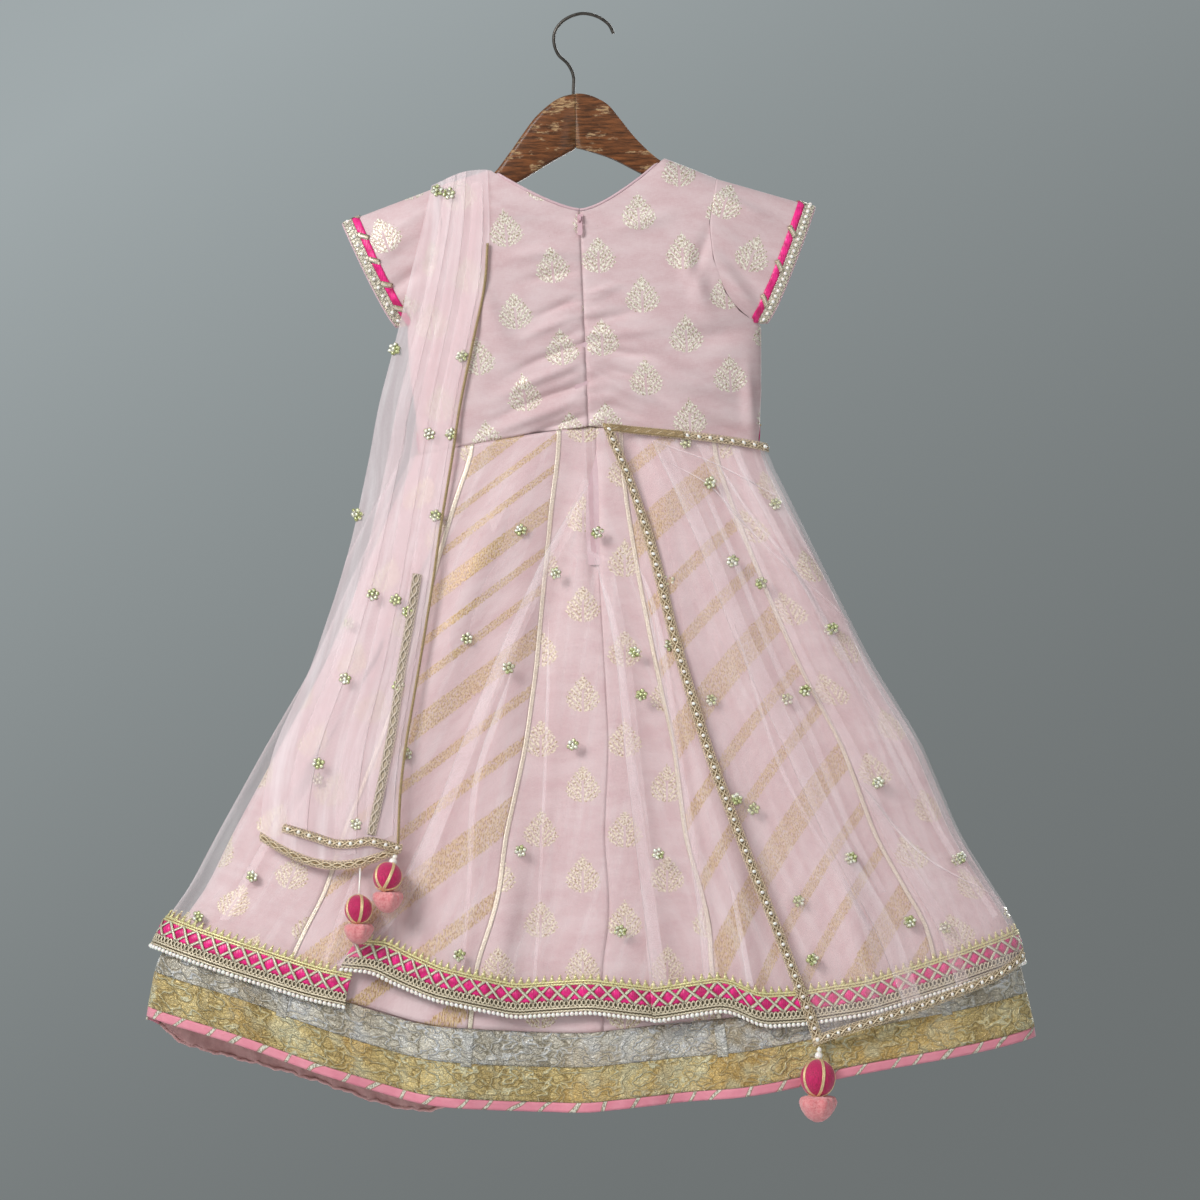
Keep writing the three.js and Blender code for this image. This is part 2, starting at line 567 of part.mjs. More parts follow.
// ---------------------------------------------------------------- zip
function addZip() {
  const tapeHalf = 11;
  const tapeTop = ZIP_TOP.z - 6;
  const behind = BROCADE / 2 + NET / 2 + 3 * SEAM;
  const tape = (u, v) => {
    const z = mix(tapeTop, ZIP_END.z - 8, v);
    const x = zipX(z) + mix(-tapeHalf, tapeHalf, u);
    const onBodice = bodyPoint(1, x, Math.max(z, -395)).y;
    const onSkirt = skirtPoint('cloth', 1, skirtPhi('cloth', x, z), Math.min(z, -380)).y;
    const y = z < -395 ? onSkirt : Math.max(onBodice, z < -360 ? onSkirt : onBodice);
    return vec(x, y + behind, z);
  };
  addNode('zip_tape', wall(tape, NET, 2, 14), FINISHES.piping);

  // The slider: a plate with a small arch on it, whose tunnel runs along X.
  const plate = { width: 5, height: 8, thick: 1.6 };
  const arch = { width: 1.8, reach: 2.6, length: 5, hole: 0.95, lift: 1.45 };
  const clothY = bodyPoint(1, ZIP_TOP.x, ZIP_TOP.z - 4).y;
  const centre = vec(zipX(ZIP_TOP.z - 4), clothY - BROCADE / 2 - 2 * SEAM, ZIP_TOP.z - 5);
  const body = new THREE.BoxGeometry(plate.width, plate.thick, plate.height);
  body.translate(0, -plate.thick / 2, 0);
  const side = new THREE.Shape();
  side.moveTo(-arch.length / 2, -0.4);
  side.lineTo(arch.length / 2, -0.4);
  side.lineTo(arch.length / 2, arch.lift);
  side.absarc(0, arch.lift, arch.length / 2, 0, Math.PI);
  side.closePath();
  const tunnel = new THREE.Path();
  tunnel.absarc(0, arch.lift, arch.hole, 0, 2 * Math.PI, true);
  side.holes.push(tunnel);
  const bridge = new THREE.ExtrudeGeometry(side, { depth: arch.width, bevelEnabled: false, curveSegments: 8 });
  // The profile's x becomes height and its y becomes the distance out from the plate.
  bridge.applyMatrix4(new THREE.Matrix4().makeBasis(vec(0, 0, 1), vec(0, -1, 0), vec(1, 0, 0)));
  bridge.translate(-arch.width / 2, -plate.thick, 0);
  const slider = fromManifold(toManifold(body).add(toManifold(bridge)));
  slider.translate(centre.x, centre.y, centre.z);
  addNode('zip_slider', slider, FINISHES.lace);

  // The pull tab: a flat teardrop with a window whose top bar lies in the slider's tunnel.
  const tab = { thick: 0.8, bar: 0.9, leg: 0.7, window: 1.35, length: 15.5, half: 2.3 };
  const teardrop = new THREE.Shape();
  teardrop.moveTo(-tab.window - tab.leg, tab.bar / 2);
  teardrop.lineTo(tab.window + tab.leg, tab.bar / 2);
  teardrop.lineTo(tab.window + tab.leg, -4);
  teardrop.quadraticCurveTo(tab.half, -tab.length + 6, tab.half, -tab.length + tab.half);
  teardrop.absarc(0, -tab.length + tab.half, tab.half, 0, -Math.PI, true);
  teardrop.quadraticCurveTo(-tab.half, -tab.length + 6, -tab.window - tab.leg, -4);
  teardrop.closePath();
  const opening = new THREE.Path();
  opening.moveTo(-tab.window, -tab.bar / 2);
  opening.lineTo(-tab.window, -4.2);
  opening.lineTo(tab.window, -4.2);
  opening.lineTo(tab.window, -tab.bar / 2);
  opening.closePath();
  teardrop.holes.push(opening);
  const pull = new THREE.ExtrudeGeometry(teardrop, { depth: tab.thick, bevelEnabled: false, curveSegments: 6 });
  pull.rotateX(Math.PI / 2);
  pull.translate(0, tab.thick / 2, 0);
  const pin = vec(centre.x, centre.y - plate.thick - arch.lift, centre.z);
  addNode('zip_pull_tab', BufferGeometryUtils.mergeVertices(pull), FINISHES.lace).position.copy(pin);
}

// ---------------------------------------------------------------- brocade skirt
const hemZ = (s) => HEM_Z + (s < 0 ? 88 : 71) * Math.abs(s) ** 1.5;
const frontDrop = (s) => 14 * Math.exp(-(((s + 0.6) / 0.17) ** 2)); // the front hangs lower at the left
const hemOf = (side, s) => hemZ(s) - (side > 0 ? 0 : frontDrop(s));
const heightShare = (z) => clamp01((WAIST_Z - z) / (WAIST_Z - HEM_Z));

// Skirt surface between two boundaries (functions of z giving phi) and two edges (functions of s).
function skirtSurface(layer, side, from, to, top, bottom) {
  return (u, v) => {
    const topZ = top(-Math.cos(mix(from(WAIST_Z), to(WAIST_Z), u)));
    const bottomZ = bottom(-Math.cos(mix(from(HEM_Z), to(HEM_Z), u)));
    const z = mix(topZ, bottomZ, v);
    return skirtPoint(layer, side, mix(from(z), to(z), u), z);
  };
}

// Boundary along a gore seam, shifted sideways by a distance in millimetres.
function seamLine([waist, hem], shift) {
  return (z) => {
    const half = (read(SKIRT, 'z', 'clothRight', z) - read(SKIRT, 'z', 'clothLeft', z)) / 2;
    const s = mix(waist, hem, heightShare(z)) + (Math.abs(waist) < 1 ? shift / half : 0);
    return Math.acos(-s);
  };
}

function addSkirtSide(side, name, kalis) {
  const facing = side;
  const bandTop = FACING_HEIGHT + GOLD_BAND_HEIGHT + SILVER_BAND_HEIGHT;
  const top = (s) => waistZ(s) - SEAM;
  const panelFoot = (s) => hemOf(side, s) + bandTop + 2 * SEAM;
  const rows = 8;
  for (const kali of kalis) {
    const from = seamLine(kali.from, SEAM / 2);
    const to = seamLine(kali.to, -SEAM / 2);
    const surface = skirtSurface('cloth', side, from, to, top, panelFoot);
    const material = kali.name.startsWith('stripe') ? FINISHES.stripe : FINISHES.brocade;
    addNode(`skirt_${name}_${kali.name}`, wall(surface, BROCADE, kali.columns, rows), material);
  }

  const goldTop = FACING_HEIGHT + GOLD_BAND_HEIGHT;
  const bandColumns = 30;
  const bands = [
    { node: 'hem_facing', low: 0, high: FACING_HEIGHT, material: FINISHES.facing },
    { node: 'gold_band', low: FACING_HEIGHT, high: goldTop, material: FINISHES.gold },
    { node: 'silver_band', low: goldTop, high: bandTop, material: FINISHES.silver },
  ];
  for (const band of bands) {
    const upper = (s) => hemOf(side, s) + band.high - SEAM / 2;
    const lower = (s) => hemOf(side, s) + band.low + SEAM / 2;
    const surface = skirtSurface('cloth', side, () => 0, () => Math.PI, upper, lower);
    addNode(`${band.node}_${name}`, wall(surface, BROCADE, bandColumns, 1), band.material);
  }

  if (side > 0) {
    for (const [number, kali] of [0, 1, 3, 4].entries()) {
      const seam = kalis[kali].to;
      const from = seamLine(seam, -TAPE_WIDTH / 2);
      const to = seamLine(seam, TAPE_WIDTH / 2);
      const surface = skirtSurface('cloth', side, from, to, top, panelFoot);
      const tape = wall(movedOut(surface, facing, LAYER), NET, 1, rows);
      addNode(`gota_tape_${number + 1}`, tape, FINISHES.silver);
    }
  }
}

// The lining's frayed edge, just inside the front hem where it hangs below the back.
function addLiningEdge() {
  const from = () => Math.acos(0.95);
  const to = () => Math.acos(0.34);
  const upper = (s) => hemOf(-1, s) + 30;
  const lower = (s) => hemOf(-1, s) - 1.5;
  const surface = skirtSurface('cloth', -1, from, to, upper, lower);
  const inside = -(5 * SEAM + (BROCADE + NET) / 2);
  addNode('lining_edge_front', wall(movedOut(surface, -1, inside), NET, 10, 1), FINISHES.lining);
}

// ---------------------------------------------------------------- net over-skirt
const netHem = (section) => (s) => read(NET_HEM[section], 's', 'z', s);
const netTop = (s) => waistZ(s) - 2;

// Rows of a net piece: even down to the top of its lace, then one row for the lace.
function netRows(surface, rows) {
  const length = surface(0.5, 0).z - surface(0.5, 1).z;
  const laceShare = NET_LACE_HEIGHT / length;
  return { laceShare, rowPlace: (t) => (t >= 1 ? 1 : (t * rows) / (rows - 1) * (1 - laceShare)) };
}

function addNetPiece(name, side, surface, columns, rows) {
  const { laceShare, rowPlace } = netRows(surface, rows);
  addNode(`net_${name}`, wall(surface, NET, columns, rows, rowPlace), FINISHES.net);
  const lacePart = (u, v) => surface(u, mix(1 - laceShare, 1, v));
  addNode(`net_lace_${name}`, wall(movedOut(lacePart, side, NET_LAYER), NET, columns, 1), FINISHES.magenta);
}

// How far the right part of the net stands off the plain net surface: over the lap, and at the pleat.
function rightNetRise(s, z) {
  const lapS = -Math.cos(skirtPhi('net', read(LAP_LINE, 'z', 'x', z), z));
  const lap = 2 * FOLD_RISE * (1 - smooth((s - lapS - 0.1) / 0.14));
  const pleat = PLEAT.out * heightShare(z) ** 2 * Math.exp(-(((s - PLEAT.at) / PLEAT.width) ** 2));
  return Math.max(0, lap) + pleat;
}

function netSurface(side, from, to, section) {
  return skirtSurface('net', side, from, to, netTop, netHem(section));
}

const rightNetBase = netSurface(
  1, (z) => skirtPhi('net', read(LAP_LINE, 'z', 'x', z), z), () => Math.PI, 'right',
);

function rightNetSurface(u, v) {
  const point = rightNetBase(u, v);
  const s = -Math.cos(skirtPhi('net', point.x, point.z));
  return point.addScaledVector(normalOf(rightNetBase, u, v), -rightNetRise(s, point.z));
}

function addNet() {
  const foldPhi = (shift) => (z) => skirtPhi('net', read(FOLD_LINE, 'z', 'x', z) + shift, z);
  const zipPhi = (z) => skirtPhi('net', zipX(z) - 3, z);
  const leftTo = (z) => (z > FOLD_LINE[0].z - 30 ? zipPhi(z) : foldPhi(FOLD_LAP)(z));
  const left = netSurface(1, () => 0, (z) => Math.min(leftTo(z), zipPhi(z)), 'left');
  addNetPiece('back_left', 1, left, 8, 9);

  const lapPhi = (z) => skirtPhi('net', read(LAP_LINE, 'z', 'x', z) + FOLD_LAP, z);
  const centreTop = () => FOLD_LINE[0].z;
  const besideZip = (z) => Math.max(zipX(z) - 2.5, read(FOLD_LINE, 'z', 'x', z) + 1);
  const centreTo = (z) => (z > ZIP_END.z ? skirtPhi('net', besideZip(z), z) : lapPhi(z));
  const centre = skirtSurface('net', 1, foldPhi(0), centreTo, centreTop, netHem('centre'));
  addNetPiece('back_centre', 1, movedOut(centre, 1, FOLD_RISE), 7, 9);

  addNetPiece('back_right', 1, rightNetSurface, 12, 9);
  const front = netSurface(-1, () => 0, () => Math.PI, 'front');
  addNetPiece('front', -1, front, 20, 7);
}

// ---------------------------------------------------------------- dupatta
// The left drape follows what lies under it: bodice and sleeve above the waist, net below it. u runs
// from its inner edge to its outer one.
function leftDrapeSurface(u, v) {
  const topX = mix(DRAPE_LEFT[0].inner, DRAPE_LEFT[0].outer, u);
  const topZ = read(TOP_LINE, 'x', 'z', topX) + 1 + 5 * Math.sin(Math.PI * u);
  const hem = DRAPE_LEFT_HEM;
  const bottomZ = mix(hem.inner, hem.outer, u) + hem.sag * Math.sin(Math.PI * u);
  const z = mix(topZ, bottomZ, v);
  const x = mix(read(DRAPE_LEFT, 'z', 'inner', z), read(DRAPE_LEFT, 'z', 'outer', z), u);
  const inward = 14 * u; // the free outer edge hangs a little off the body
  const onBody = bodyPoint(1, x + inward * 0.6, z).y - BROCADE / 2;
  const onNet = skirtPoint('net', 1, skirtPhi('net', x + inward, z), z).y - NET / 2;
  const belowWaist = smooth((-350 - z) / 60);
  const gathered = 2 * smooth((z + 200) / 40);
  const pleat = 2 * (1 - Math.cos(u * 6 * Math.PI)) * smooth((z + 800) / 500) * smooth((-150 - z) / 40);
  return vec(x, mix(onBody, onNet, belowWaist) - 2.4 - gathered - pleat - 3 * smooth((-300 - z) / 300), z);
}

function addLeftDrape() {
  const columns = 12;
  const rows = 16;
  const hemShare = DRAPE_LACE / (DRAPE_LEFT[0].z - DRAPE_LEFT_HEM.inner);
  const rowPlace = (t) => (t >= 1 ? 1 : ((t * rows) / (rows - 1)) ** 1.8 * (1 - hemShare));
  addNode('dupatta_left', wall(leftDrapeSurface, NET, columns, rows, rowPlace), FINISHES.net);
  const edge = movedOut((u, v) => leftDrapeSurface(u / columns, v), -1, DRAPE_LACE_LAYER);
  addNode('dupatta_left_edge_lace', wall(edge, NET, 1, rows, rowPlace), FINISHES.lace);
  const hemPart = (u, v) => leftDrapeSurface(mix(1.1 / columns, 1, u), mix(1 - hemShare, 1, v));
  addNode('dupatta_left_hem_lace', wall(movedOut(hemPart, -1, DRAPE_LACE_LAYER), NET, 11, 1), FINISHES.lace);
}

// The right drape lies on the right part of the net, moved out from its points.
function rightDrapeSurface(u, v) {
  const bottomZ = DRAPE_RIGHT_HEM.corner + DRAPE_RIGHT_HEM.rise * u ** 0.85;
  const z = mix(DRAPE_RIGHT_TOP.z - DRAPE_RIGHT_TOP.fall * u, bottomZ, v);
  const from = skirtPhi('net', read(DRAPE_RIGHT_EDGE, 'z', 'x', z), z);
  const to = Math.PI * 0.955;
  const onNet = (p, q) => skirtPoint('net', 1, mix(from, to, p), q);
  const s = -Math.cos(mix(from, to, u));
  const fold = 2.5 * (1 - Math.cos(4 * Math.PI * u)) * heightShare(z);
  const normal = normalOf((p, q) => onNet(p, z - q), u, 0.5);
  const overSideLace = 2 * smooth((u - 0.75) / 0.2);
  return onNet(u, z).addScaledVector(normal, -(rightNetRise(s, z) + DRAPE_RISE + fold + overSideLace));
}

function addRightDrape() {
  const rows = 12;
  const laceRow = 0.018;
  const rowPlace = (t) => {
    if (t <= 0 || t >= 1) return clamp01(t);
    return mix(laceRow, 1 - laceRow, (t * rows - 1) / (rows - 2));
  };
  addNode('dupatta_right', wall(rightDrapeSurface, NET, rows, rows, rowPlace), FINISHES.net);
  // One length of lace runs down the diagonal edge, and along the waist from the same corner.
  const laceShare = (v) => DRAPE_LACE / mix(145, 215, v);
  const strip = (u, v) => rightDrapeSurface(u * laceShare(v), v);
  const edge = wall(movedOut(strip, 1, DRAPE_LACE_LAYER), NET, 1, rows, rowPlace);
  const alongWaist = (u, v) => rightDrapeSurface(u, v * laceRow);
  const waist = wall(movedOut(alongWaist, 1, DRAPE_LACE_LAYER), NET, rows, 1);
  addNode('dupatta_right_edge_lace', fromManifold(toManifold(edge).add(toManifold(waist))), FINISHES.lace);
  const alongHem = (u, v) => rightDrapeSurface(mix(1 / 18, 1, u), mix(1 - laceRow, 1, v));
  const hemLace = wall(movedOut(alongHem, 1, DRAPE_LACE_LAYER), NET, rows, 1);
  addNode('dupatta_right_hem_lace', hemLace, FINISHES.lace);
}

// ---------------------------------------------------------------- latkans
// A tassel hangs on a cord from just under the lace: a bead on the cord, a covered ball, a pompom.
// The cord leans out where the ball rests against the cloth.
const LATKAN = { bead: 3.4, cord: 0.9, below: 1.2, pompomShare: 0.95, pompomSquash: 0.62 };

const arc = (radius, from, to, steps) => Array.from({ length: steps + 1 }, (_, i) => {
  const angle = mix(from, to, i / steps);
  return new THREE.Vector2(radius * Math.cos(angle), radius * Math.sin(angle));
});

// A ball of a given radius with a cord standing on it that ends at a given height over its centre.
function ballOnCord(radius, top, segments) {
  const neck = Math.acos(LATKAN.cord / radius);
  const profile = [...arc(radius, -Math.PI / 2, neck, segments)];
  profile.push(new THREE.Vector2(LATKAN.cord, top), new THREE.Vector2(0, top));
  profile[0].x = 0;
  return new THREE.LatheGeometry(profile, 10).rotateX(Math.PI / 2);
}

// lean is the ball's place from the point of the sheet's edge that carries the tassel.
function addLatkan(name, edgePoint, lean, radius, withBead) {
  const hang = edgePoint.clone().add(vec(0, 0, -LATKAN.below));
  const ball = edgePoint.clone().add(lean);
  const cord = hang.clone().sub(ball);
  const tilt = new THREE.Quaternion().setFromUnitVectors(vec(0, 0, 1), cord.clone().normalize());
  const put = (part, geometry, at, material) => {
    const mesh = addNode(`${name}_${part}`, geometry, material);
    mesh.position.copy(at);
    return mesh;
  };
  if (withBead) {
    const beadLift = radius + SEAM + LATKAN.bead;
    const beadAt = ball.clone().addScaledVector(cord.clone().normalize(), beadLift);
    const bead = ballOnCord(LATKAN.bead, cord.length() - beadLift, 5);
    put('bead', bead, beadAt, FINISHES.lace).quaternion.copy(tilt);
    const covered = new THREE.SphereGeometry(radius, 10, 7).rotateX(Math.PI / 2);
    put('ball', covered, ball, FINISHES.magenta);
  } else {
    put('ball', ballOnCord(radius, cord.length(), 6), ball, FINISHES.magenta).quaternion.copy(tilt);
  }
  const pompomRadius = radius * LATKAN.pompomShare;
  const pompom = new THREE.SphereGeometry(pompomRadius, 10, 7).rotateX(Math.PI / 2);
  pompom.scale(1, 1, LATKAN.pompomSquash);
  const drop = radius + SEAM + pompomRadius * LATKAN.pompomSquash;
  put('pompom', pompom, ball.clone().add(vec(0, 0, -drop)), FINISHES.pompom);
}

addHanger();
addBodice();
addNeckPiping();
addSleeve('left');
addSleeve('right');
addZip();
addSkirtSide(1, 'back', BACK_KALIS);
addSkirtSide(-1, 'front', FRONT_KALIS);
addLiningEdge();
addNet();
addLeftDrape();
addRightDrape();
addLatkan('latkan_right', rightDrapeSurface(0.01, 1), vec(-1.5, -8.5, -29), 16.5, true);
addLatkan('latkan_left_upper', leftDrapeSurface(0.03, 1), vec(-6, -14, -19), 13.5, true);
addLatkan('latkan_left_lower', leftDrapeSurface(0.27, 1), vec(-1, -16, -38), 13, false);

export default gown;
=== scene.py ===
# A child's anarkali gown, seen from the back, with a sheer net over-skirt and a sewn-on net dupatta,
# hanging on a wooden hanger. The frame is in metres, +Z up, with the zip towards -Y. The cloth's
# tables are in millimetres, as a tailor measures, and MM turns them into the frame's metres.
import math

import bmesh
import bpy
import numpy as np
from mathutils import Matrix, Vector


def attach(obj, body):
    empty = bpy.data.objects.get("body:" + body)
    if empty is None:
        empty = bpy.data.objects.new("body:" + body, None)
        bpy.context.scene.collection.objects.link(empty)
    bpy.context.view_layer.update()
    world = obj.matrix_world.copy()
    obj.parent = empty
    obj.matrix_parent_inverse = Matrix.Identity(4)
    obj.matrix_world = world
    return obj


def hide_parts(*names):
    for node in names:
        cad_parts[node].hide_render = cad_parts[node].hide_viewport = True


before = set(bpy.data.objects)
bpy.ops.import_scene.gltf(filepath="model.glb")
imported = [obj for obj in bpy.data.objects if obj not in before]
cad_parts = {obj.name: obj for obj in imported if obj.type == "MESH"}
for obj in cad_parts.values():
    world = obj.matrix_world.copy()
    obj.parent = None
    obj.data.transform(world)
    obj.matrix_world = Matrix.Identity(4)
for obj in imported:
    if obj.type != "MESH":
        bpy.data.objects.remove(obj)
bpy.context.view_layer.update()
MM = 0.001

# ---- Studio --------------------------------------------------------------------------------------
# A plain pale floor under the hanging gown, a pale surround, a large soft lamp high on the left and
# weaker ones to the right and behind. The camera looks square at the back of the gown.
def node(owner, kind, inputs=None, **settings):
    """A new node in the tree of its owner, which is any socket, node or tree there."""
    made = owner.id_data.nodes.new(kind)
    for name, value in settings.items():
        setattr(made, name, value)
    for name, value in (inputs or {}).items():
        if isinstance(value, bpy.types.NodeSocket):
            owner.id_data.links.new(value, made.inputs[name])
        else:
            made.inputs[name].default_value = value
    return made


def owner_of(values):
    return next(value for value in values if isinstance(value, bpy.types.NodeSocket))


def maths(operation, *values, clamp=False):
    made = node(owner_of(values), "ShaderNodeMath", dict(enumerate(values)), operation=operation,
                use_clamp=clamp)
    return made.outputs[0]


def material(name, **sockets):
    """A Principled material and its shader, with constants set on the shader."""
    made = bpy.data.materials.new(name)
    made.use_nodes = True
    shader = made.node_tree.nodes["Principled BSDF"]
    for key, value in sockets.items():
        shader.inputs[key.replace("_", " ")].default_value = value
    return made, shader


def feed(target, **values):
    """Links values to a shader's or a group's sockets, where _ stands for a space in a name."""
    for label, value in values.items():
        target.id_data.links.new(value, target.inputs[label.replace("_", " ")])


def mesh_of(bm, name):
    mesh = bpy.data.meshes.new(name)
    bm.to_mesh(mesh)
    bm.free()
    return mesh


scene = bpy.context.scene
scene.view_settings.view_transform = "Standard"
world = bpy.data.worlds.new("studio")
scene.world = world
world.use_nodes = True
background = world.node_tree.nodes["Background"]
background.inputs["Strength"].default_value = 1.0
sight = node(background, "ShaderNodeTexCoord").outputs["Generated"]
aside = node(sight, "ShaderNodeVectorMath", {0: sight, 1: (-1.74, 0.0, 2.81)}, operation="DOT_PRODUCT")
spread_out = node(sight, "ShaderNodeMapRange", {"Value": aside.outputs["Value"], "From Min": -0.555,
                                                "From Max": 0.445}).outputs["Result"]
# lighter high on the left, darker low on the right
shade = node(sight, "ShaderNodeValToRGB", {"Fac": maths("POWER", spread_out, 2.0)})
shade.color_ramp.elements[0].color = (0.152, 0.166, 0.166, 1)
shade.color_ramp.elements[1].color = (0.355, 0.397, 0.407, 1)
feed(background, Color=shade.outputs["Color"])

bm = bmesh.new()
bmesh.ops.create_circle(bm, cap_ends=True, segments=96, radius=3.2)
floor_mesh = mesh_of(bm, "floor")
floor_mesh.transform(Matrix.Translation((0, 0, -1.62)))
floor_mesh.materials.append(material("floor_paint", Base_Color=(0.62, 0.62, 0.62, 1), Roughness=0.9)[0])
floor = bpy.data.objects.new("floor", floor_mesh)
scene.collection.objects.link(floor)

LAMPS = [
    # name, place, aimed at, size, power in watts
    ("key", (-2.1, -2.3, 1.2), (0.0, 0.0, -0.55), 1.3, 92),
    ("fill", (1.7, -2.8, -0.1), (0.0, 0.0, -0.6), 2.4, 18),
    ("front_side", (0.9, 2.9, 0.2), (0.0, 0.0, -0.55), 2.0, 58),
]
for name, place, target, size, power in LAMPS:
    lamp = bpy.data.lights.new(name, "AREA")
    lamp.size = size
    lamp.energy = power
    lamp_object = bpy.data.objects.new(name, lamp)
    lamp_object.location = place
    lamp_object.rotation_euler = (Vector(target) - Vector(place)).to_track_quat("-Z", "Y").to_euler()
    scene.collection.objects.link(lamp_object)

VIEW_WIDTH = 1.104  # metres across the picture at the gown
camera_data = bpy.data.cameras.new("camera")
camera_data.lens = 150
camera_data.clip_end = 50
camera = bpy.data.objects.new("camera", camera_data)
camera.location = (0.0175, -VIEW_WIDTH * camera_data.lens / camera_data.sensor_width, -0.538)
camera.rotation_euler = (math.pi / 2, 0, 0)
scene.collection.objects.link(camera)
scene.camera = camera

# ---- Hanger --------------------------------------------------------------------------------------
# A child's hanger: two shaped wooden arms joined at the middle, the old brown varnish rubbed through
# to pale wood along the arms and edges, and a dull wire hook turned into the top.
def times(*values, clamp=False):
    return maths("MULTIPLY", *values, clamp=clamp)


def plus(*values, clamp=False):
    return maths("ADD", *values, clamp=clamp)


def minus(*values, clamp=False):
    return maths("SUBTRACT", *values, clamp=clamp)


def scaled(value, factor, start, clamp=False):
    """value x factor + start"""
    return maths("MULTIPLY_ADD", value, factor, start, clamp=clamp)


def blend(factor, first, second):
    """Colour mix of two colours, each a hex code or a socket."""
    first, second = (colour(k) if isinstance(k, str) else k for k in (first, second))
    return node(factor, "ShaderNodeMix", {0: factor, 6: first, 7: second}, data_type="RGBA").outputs[2]


def ramp(value, low, high):
    """0 where value is at low, 1 at high, with soft ends."""
    return node(value, "ShaderNodeMapRange", {"Value": value, "From Min": low, "From Max": high},
                interpolation_type="SMOOTHSTEP").outputs["Result"]


def noise(place, scale, detail=3.0, rough=0.55):
    return node(place, "ShaderNodeTexNoise", {"Vector": place, "Scale": scale, "Detail": detail,
                                              "Roughness": rough}).outputs["Fac"]


def colour(hex_code):
    """Scene colour of an sRGB hex code."""
    parts = [int(hex_code[i:i + 2], 16) / 255 for i in (0, 2, 4)]
    return (*[p / 12.92 if p <= 0.04045 else ((p + 0.055) / 1.055) ** 2.4 for p in parts], 1.0)


def mapped(place, scale, **more):
    """The place drawn out, moved or turned, so that a pattern read there is stretched or turned too."""
    return node(place, "ShaderNodeMapping", {"Vector": place, "Scale": scale, **more}).outputs["Vector"]


def place_of(shader):
    """Object coordinates in millimetres."""
    return mapped(node(shader, "ShaderNodeTexCoord").outputs["Object"], (1 / MM, 1 / MM, 1 / MM))


def axes(place):
    return node(place, "ShaderNodeSeparateXYZ", {"Vector": place}).outputs


def bump(shader, height, strength, distance=0.001):
    made = node(height, "ShaderNodeBump", {"Height": height, "Strength": strength, "Distance": distance})
    feed(shader, Normal=made.outputs["Normal"])


def put(name, shape, paint, replaced=(), smooth=True, body="gown"):
    """A finished piece from a mesh or bmesh: its material, its body, and the nodes it stands for."""
    mesh = mesh_of(shape, name) if isinstance(shape, bmesh.types.BMesh) else shape
    made = bpy.data.objects.new(name, mesh)
    scene.collection.objects.link(made)
    if smooth:
        mesh.polygons.foreach_set("use_smooth", [True] * len(mesh.polygons))
    if not mesh.materials:
        mesh.materials.append(paint)
    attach(made, body)
    if replaced:
        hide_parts(*replaced)
    return made


def smooth_line(points, count):
    """Points spaced along a centripetal curve through the given ones."""
    given = np.array(points, float)
    ends = np.vstack([2 * given[0] - given[1], given, 2 * given[-1] - given[-2]])
    steps = np.linspace(0, len(given) - 1, count)
    k = np.minimum(steps.astype(int), len(given) - 2)
    t = (steps - k)[:, None]
    a, b, c, d = ends[k], ends[k + 1], ends[k + 2], ends[k + 3]
    return 0.5 * (2 * b + (c - a) * t + (2 * a - 5 * b + 4 * c - d) * t ** 2
                  + (3 * b - a - 3 * c + d) * t ** 3)


def tube(bm, line, radius, sides=10):
    """Sweeps a ring along a line of points (metres) and closes its ends."""
    line = [Vector(p) for p in line]
    ring = None
    start = line[1] - line[0]
    turn = start.to_track_quat("Z", "Y")
    for i, spot in enumerate(line):
        ahead = line[min(i + 1, len(line) - 1)] - line[max(i - 1, 0)]
        turn = (turn @ Vector((0, 0, 1))).rotation_difference(ahead) @ turn
        across = bmesh.ops.create_circle(bm, segments=sides,
                                         radius=radius if np.isscalar(radius) else radius[i])["verts"]
        bmesh.ops.transform(bm, matrix=Matrix.Translation(spot) @ turn.to_matrix().to_4x4(), verts=across)
        edges = list(dict.fromkeys(e for v in across for e in v.link_edges))
        if ring is None:
            bmesh.ops.contextual_create(bm, geom=edges)
        else:
            bmesh.ops.bridge_loops(bm, edges=ring + edges)
        ring = edges
    bmesh.ops.contextual_create(bm, geom=ring)
    bmesh.ops.recalc_face_normals(bm, faces=bm.faces)


def cord(name, line, radius, sides, paint, replaced=()):
    """A round piece along a line of points; line and radius are in millimetres."""
    bm = bmesh.new()
    tube(bm, line * MM, radius * MM, sides)
    return put(name, bm, paint, replaced)


WIRE_RADIUS = 1.5
HOOK_LINE = [
    (30, 0, -17), (25, 0, -8), (14, 0, -0.8), (0, 0, 1.5), (-14, 0, -3.5), (-23, 0, -13), (-25, 0, -24),
    (-21, 0, -36), (-12, 0, -45), (-7, 0, -56), (-7, 0, -70), (-7, 0, -94),
]
wire, shader = material("dull_wire", Metallic=0.85, Specular_IOR_Level=0.5)
spot = place_of(shader)
wear_and_shade = noise(spot, 0.35, 4)
feed(shader, Base_Color=blend(wear_and_shade, "2b2826", "6b655f"), Roughness=scaled(wear_and_shade, 0.35, 0.2))
bump(shader, noise(spot, 2.2), 0.25, 0.0004)
cord("hanger_hook_wire", smooth_line(HOOK_LINE, 90), WIRE_RADIUS, 14, wire, ["hanger_hook"])

